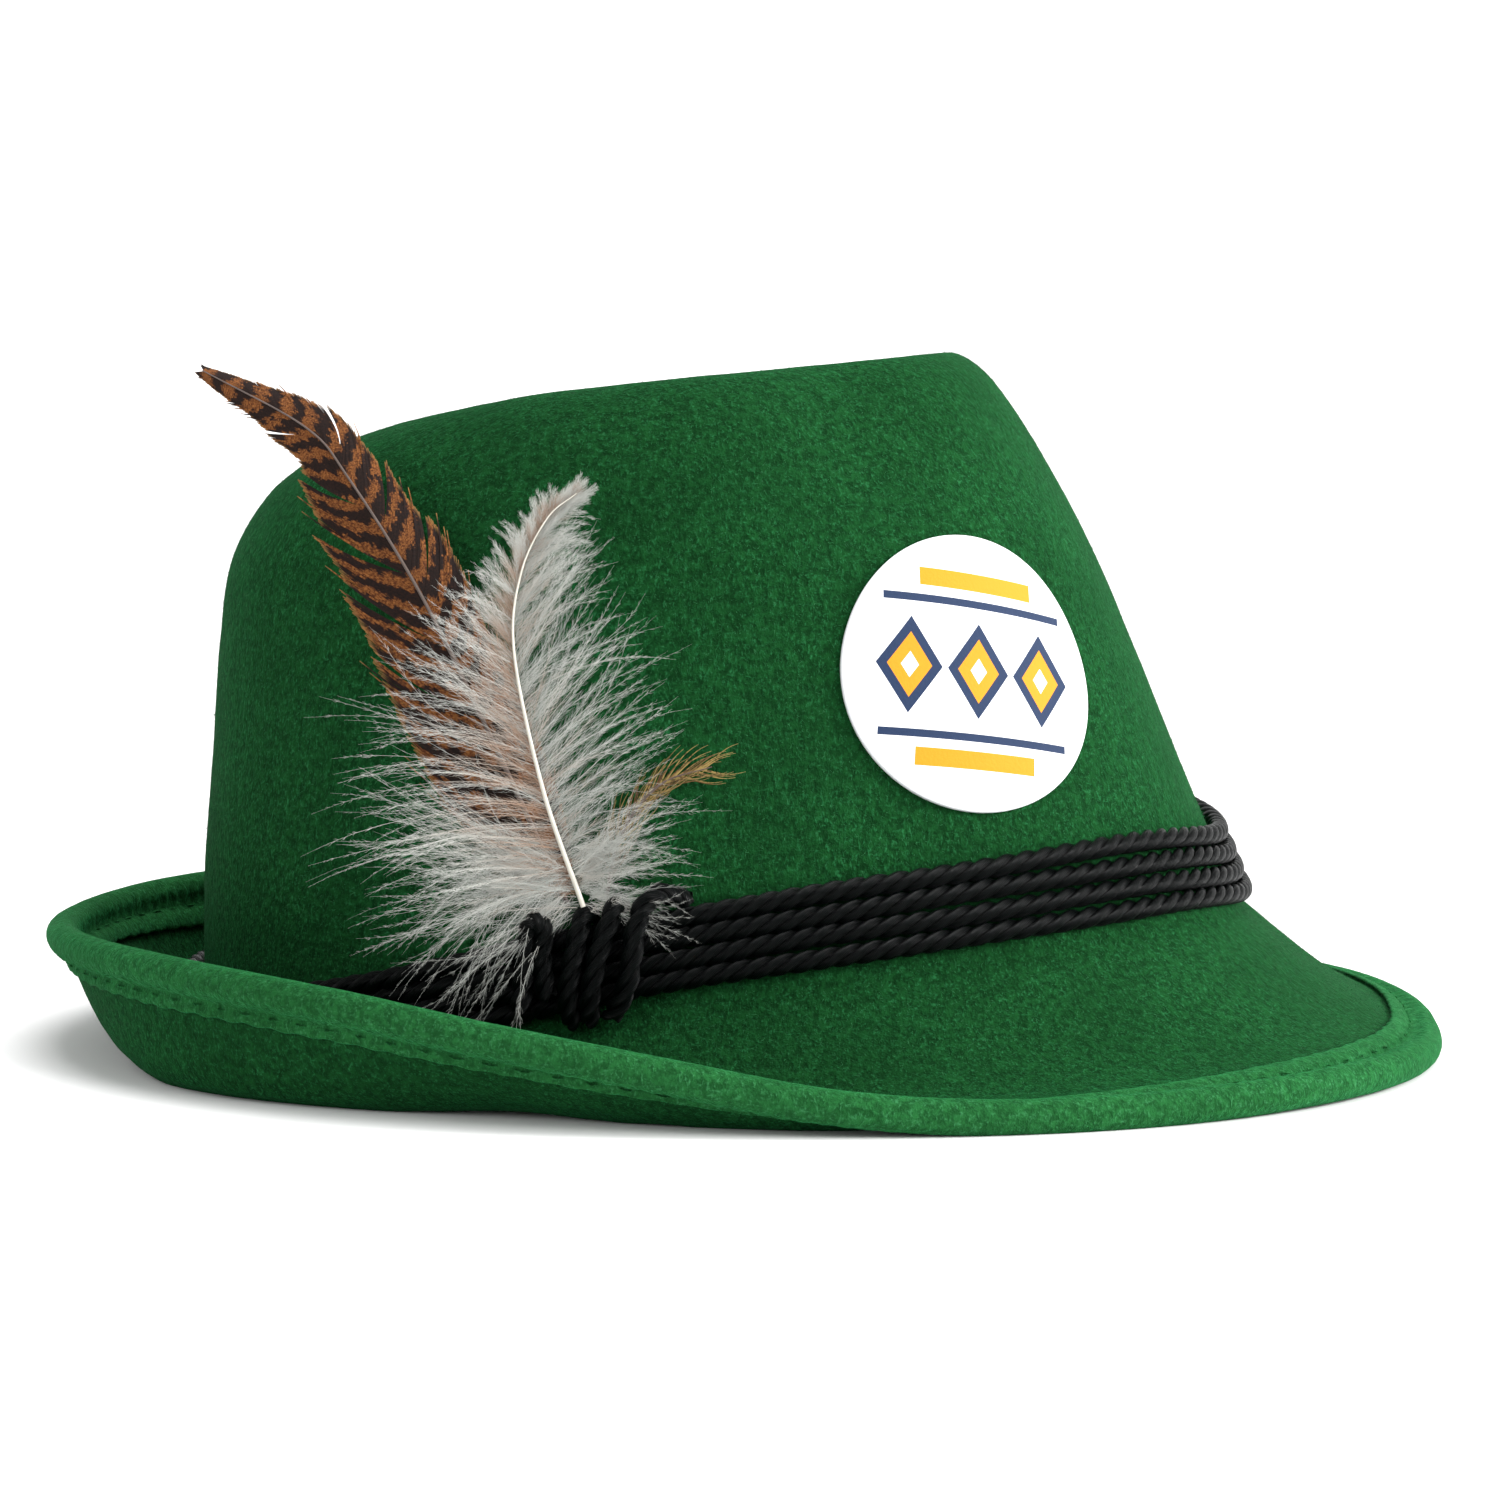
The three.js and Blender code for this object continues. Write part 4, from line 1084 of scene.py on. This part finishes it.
def build_plume(material, quill):
    """The white plume: loose barbs up both sides of the quill, and a tuft over the cord at its foot."""
    rng = random.Random(33)
    count = 200
    path = feather_path(feather_base(*PLUME_PLACE), PLUME_ROUTE, PLUME_LENGTH, count)
    tangent, across, face = feather_frames(path)
    strips = Strips()
    for side, name in ((-1, "left"), (1, "right")):
        outward = across if (across[60] * side)[0] > 0 else -across
        for k in range(PLUME_BARBS):
            share = 0.03 + 0.96 * (k + rng.random()) / PLUME_BARBS
            i = min(int(share * (count - 1)), count - 1)
            if k % PLUME_CLUMP == 0:
                droop = float(read_table(PLUME_TABLE, "along", share, "droop"))
                sweep, bend = rng.gauss(0, 10), -side * rng.gauss(droop, 0.20)
                reach, lift = rng.uniform(0.72, 1.1), rng.uniform(-0.06, 0.40)
            length = float(read_table(PLUME_TABLE, "along", share, name)) * reach
            length *= rng.uniform(0.8, 1.08)
            lean = float(read_table(PLUME_TABLE, "along", share, name + "_lean"))
            lean += sweep * min(1, lean / 40) + rng.gauss(0, 3.5)
            heading = turned(tangent[i], outward[i], lean)
            tag = rng.uniform(0.45, 1.0) if name == "left" else rng.uniform(0.1, 0.72)
            down_barb(strips, rng, path[i], heading, face[i], length, bend + rng.gauss(0, 0.03),
                      lift + rng.gauss(0, 0.05), tag, PLUME_BARBULES)
    piece = strips.make("down_barbs", material)
    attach(piece, "root")
    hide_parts("feather_plume")
    build_tuft(path, rng, material)
    radii = np.linspace(0.48, 0.10, count)
    quill_mesh("plume_quill", path + face * 1.1, radii, quill)


def build_tuft(path, rng, material):
    """The loose down at the plume's foot, which hangs over the cord."""
    strips = Strips()
    toward = np.array([0.0, -1.0, 0.0])
    for k in range(TUFT_BARBS):
        if k % 4 == 0:
            degrees, length = rng.uniform(-28, 62), rng.uniform(9, 21)
        else:
            degrees, length = rng.uniform(138, 238), rng.uniform(14, 36)
        heading = np.array([math.cos(degrees * DEGREE), 0.0, math.sin(degrees * DEGREE)])
        shift = rng.gauss(1.5, 1.0) if k % 4 == 0 else rng.gauss(-4.5, 2.6)
        root = path[int(rng.uniform(0, 26))] + toward * rng.uniform(-0.9, 1.4)
        root = root + np.array([shift, 0, rng.gauss(0.5, 1.4)])
        bend = rng.gauss(0.10, 0.22)
        down_barb(strips, rng, root, heading, toward, length, bend, rng.uniform(0.08, 0.30),
                  rng.uniform(0.1, 0.62), TUFT_BARBULES)
    piece = strips.make("down_tuft", material)
    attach(piece, "root")


HACKLE_BARBS, HACKLE_REACH = 46, 10.8


def build_hackle(material, quill):
    """The short golden feather: barbs in two bundles that splay apart towards their tips."""
    rng = random.Random(8)
    count = 80
    path = feather_path(feather_base(*HACKLE_PLACE), HACKLE_ROUTE, HACKLE_LENGTH, count)
    tangent, across, face = feather_frames(path)
    strips = Strips()
    t = np.linspace(0, 1, BARB_POINTS)[:, None]
    for side in (-1, 1):
        for k in range(HACKLE_BARBS):
            share = 0.12 + 0.86 * k / HACKLE_BARBS
            i = min(int(share * (count - 1)), count - 1)
            length = HACKLE_REACH * rng.uniform(0.7, 1.1) * (1 - 0.30 * share)
            lean = rng.uniform(0.10, 0.42) + 0.10 * (side > 0)
            spine = path[i] + length * (
                across[i] * side * (t * math.sin(lean) + 0.12 * np.sin(t * 3 + rng.random()) * t)
                + tangent[i] * t * math.cos(lean) + face[i] * t * t * rng.uniform(-0.05, 0.15)
            )
            flat = unit(np.cross(face[i], spine[-1] - spine[0]))
            uvs = np.stack([t[:, 0], np.full(BARB_POINTS, rng.random())], axis=1)
            strips.add(spine, flat, 0.14 * (1 - 0.75 * t[:, 0]), uvs)
    piece = strips.make("golden_barbs", material)
    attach(piece, "root")
    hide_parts("feather_hackle")
    quill_mesh("golden_quill", path, np.linspace(0.4, 0.1, count), quill)


# The round patch


# The printed figure, as shares of the patch's radius
LOZENGE_SPACING, LOZENGE_SIZES = 1 / 1.9, (0.74, 0.50, 0.20)
LINE_HEIGHT, LINE_REACH = 0.48, 0.73
BAR_HEIGHT, BAR_REACH = 0.64, 0.46
PATCH_SEGMENTS = 144


def patch_material():
    """White with a plain geometric figure: a leaning row of lozenges between lines and bars."""
    n = Nodes("printed_patch")
    x, y, _ = n.split(n.coordinates(kind="UV", rotation=(0, 0, 0.16)))
    white, navy, amber = (0.74, 0.75, 0.77), (0.0055, 0.020, 0.062), (0.66, 0.235, 0.003)
    height = n.size(y)
    repeat = n.minus(n.math("FRACT", n.plus(n.times(x, 1 / LOZENGE_SPACING), 0.5)), 0.5)
    lozenge = n.plus(n.times(n.size(repeat), 1.6), n.times(height, 2.15))
    inside = n.below(n.size(x), 1.5 * LOZENGE_SPACING)
    body, core, seed = (n.times(n.below(lozenge, size), inside) for size in LOZENGE_SIZES)
    line = n.times(n.below(n.size(n.minus(height, LINE_HEIGHT)), 0.028), n.below(n.size(x), LINE_REACH))
    bar = n.times(n.below(n.size(n.minus(height, BAR_HEIGHT)), 0.065), n.below(n.size(x), BAR_REACH))
    color = n.mix(line, white, navy)
    color = n.mix(bar, color, amber)
    color = n.mix(body, color, navy)
    color = n.mix(core, color, amber)
    color = n.mix(seed, color, white)
    weave = n.noise(n.coordinates(), 1600, 2)
    return n.finish(color, n.bump(weave, 0.00012, 0.5), Roughness=0.7, Sheen_Weight=0.1,
                    Specular_IOR_Level=0.25)


def build_patch(material):
    """The thin disc, laid on the curve of the wall."""
    centre_angle = np.float64(PATCH_ANGLE * DEGREE)
    origin = wall_point(centre_angle, PATCH_LEVEL)
    normal = wall_normal(centre_angle, PATCH_LEVEL)
    across = unit(np.cross([0, 0, 1.0], normal))
    upward = np.cross(normal, across)
    height = float(ridge_z(centre_angle) - fold_z(centre_angle))
    segments = PATCH_SEGMENTS
    turn = full_turn(segments)
    lift = CLEARANCE + PATCH_THICKNESS
    profile = [(r, lift) for r in np.linspace(0.02, 0.985, 24)]
    profile += [(0.994, lift - 0.12), (1.0, lift - 0.34), (1.0, 0.15), (0.985, 0.02)]
    rows, uvs = [], []
    for share, off in profile:
        right = PATCH_RADIUS * share * np.cos(turn)
        up = PATCH_RADIUS * share * np.sin(turn)
        angle, level = centre_angle + right / HALF_WIDTH, PATCH_LEVEL + up / height
        for _ in range(6):
            miss = wall_point(angle, level) - origin
            angle = angle + (right - miss @ across) / HALF_WIDTH
            level = level + (up - miss @ upward) / height
        rows.append(wall_point(angle, level) + wall_normal(angle, level) * off)
        uvs.append(np.stack([share * np.cos(turn), share * np.sin(turn)], axis=1))
    points = np.array(rows).reshape(-1, 3)
    quads = grid_faces(len(rows), segments, wrap_columns=True)[:, ::-1]
    middle = len(points)
    points = np.concatenate([points, [points[:segments].mean(axis=0)]])
    uvs = np.concatenate([*uvs, [[0, 0]]])
    hub = np.array([[middle, k, (k + 1) % segments] for k in range(segments)])
    split = np.concatenate([quads[:, [0, 1, 2]], quads[:, [0, 2, 3]], hub])
    piece = make_mesh("patch_disc", points, split, material, uvs)
    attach(piece, "root")
    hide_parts("round_patch")


# Camera, floor and light

# Millimetres, and pixels of the photograph's square frame. The camera looks down by so many pixels
# of the focal length that it was fitted with, and is then zoomed a little.
FRAME_PIXELS, SENSOR = 1500.0, 36.0
FOCAL_PIXELS, FITTED_FOCAL_PIXELS, DOWN_PIXELS = 4120.0, 4090.0, 350.0
CAMERA_DISTANCE, CAMERA_HEIGHT = 820.0, 127.5
CAMERA_AZIMUTH = 5 * DEGREE
CAMERA_PITCH = math.atan(DOWN_PIXELS / FITTED_FOCAL_PIXELS)
SIDE_PIXELS = 25.0
# How far forward of the box's middle the camera aims
AIM_FORWARD = 5.9


def build_camera():
    data = bpy.data.cameras.new("camera")
    data.sensor_width = SENSOR
    data.lens = FOCAL_PIXELS / FRAME_PIXELS * SENSOR
    data.clip_start, data.clip_end = 0.01, 20
    data.shift_x = -SIDE_PIXELS / FRAME_PIXELS
    camera = bpy.data.objects.new("camera", data)
    bpy.context.collection.objects.link(camera)
    camera.location = (
        (AIM_FORWARD + CAMERA_DISTANCE * math.sin(CAMERA_AZIMUTH)) * MM,
        -CAMERA_DISTANCE * math.cos(CAMERA_AZIMUTH) * MM,
        CAMERA_HEIGHT * MM,
    )
    camera.rotation_euler = (math.pi / 2 - CAMERA_PITCH, 0, CAMERA_AZIMUTH)
    bpy.context.scene.camera = camera


# The floor in metres: its half size, and how far back, how high and how round it turns up
FLOOR_SIZE, FLOOR_BACK, FLOOR_HEIGHT, FLOOR_BEND = 5.0, 3.2, 3.4, 2.4
FLOOR_DROP = 0.02


def build_floor():
    """A pale floor that turns up into a backdrop, just under the hat."""
    n = Nodes("pale_floor")
    vary = n.noise(n.coordinates(), 3, 1)
    material = n.finish(n.mix(vary, (0.92, 0.92, 0.92), (0.94, 0.94, 0.94)), Roughness=0.9,
                        Specular_IOR_Level=0.1)
    size, bend = FLOOR_SIZE, FLOOR_BEND
    straight = FLOOR_BACK - bend
    profile = [(-size, 0.0), (straight, 0.0)]
    for k in range(1, 13):
        a = k / 12 * math.pi / 2
        profile.append((straight + bend * math.sin(a), bend - bend * math.cos(a)))
    profile.append((FLOOR_BACK, FLOOR_HEIGHT))
    points = [(x / MM, y / MM, z / MM - FLOOR_DROP) for y, z in profile for x in (-size, size)]
    floor = make_mesh("floor", points, grid_faces(len(profile), 2), material)


# Area lights: place and aim in metres, power in watts, and size
HAT_MIDDLE = (0, 0, 0.06)
LIGHTS = table(
    "name place power size aim",
    ("top", (0.15, 0.05, 1.3), 15.5, 1.0, HAT_MIDDLE),
    ("key", (1.0, -0.8, 0.8), 13, 0.6, HAT_MIDDLE),
    ("fill", (-0.9, -1.0, 0.6), 4.5, 0.9, HAT_MIDDLE),
    ("side", (1.3, -0.15, 0.45), 20, 0.5, HAT_MIDDLE),
    ("back", (0.0, 1.4, 1.6), 30, 1.6, (0.0, 2.6, 0.4)),
)
SKY_STRENGTH = 0.55


def build_light(name, place, power, size, aim):
    data = bpy.data.lights.new(name, "AREA")
    data.energy = power
    data.size = size
    light = bpy.data.objects.new(name, data)
    bpy.context.collection.objects.link(light)
    light.location = place
    light.rotation_euler = (Vector(aim) - Vector(place)).to_track_quat("-Z", "Y").to_euler()


def build_lights():
    """Soft studio lights under an even white sky."""
    world = bpy.data.worlds.new("studio")
    bpy.context.scene.world = world
    world.use_nodes = True
    background = world.node_tree.nodes["Background"]
    background.inputs["Color"].default_value = (1, 1, 1, 1)
    background.inputs["Strength"].default_value = SKY_STRENGTH
    for light in LIGHTS:
        build_light(**light)
    bpy.context.scene.view_settings.view_transform = "Standard"


build_camera()
build_floor()
build_lights()

FELT_GREENS = [(0.0028, 0.026, 0.0060), (0.0062, 0.055, 0.0128), (0.0180, 0.132, 0.042)]
ROLL_GREENS = [(0.0076, 0.056, 0.0140), (0.0150, 0.106, 0.027), (0.041, 0.200, 0.074)]
green = felt_material("green_wool", *FELT_GREENS, 0.12)
roll_green = felt_material("roll_wool", *ROLL_GREENS, 0.22)
cord_black = cord_material()
ivory = quill_material()
horn = grey_quill_material()

felt_points, felt_normals = build_felt(green)
build_nap(felt_points, felt_normals, nap_material())
build_binding(roll_green)
build_cord_turns(cord_black)
build_windings(cord_black)
build_barred(barred_material(), horn)
build_plume(down_material(), ivory)
build_hackle(golden_material(), horn)
build_patch(patch_material())
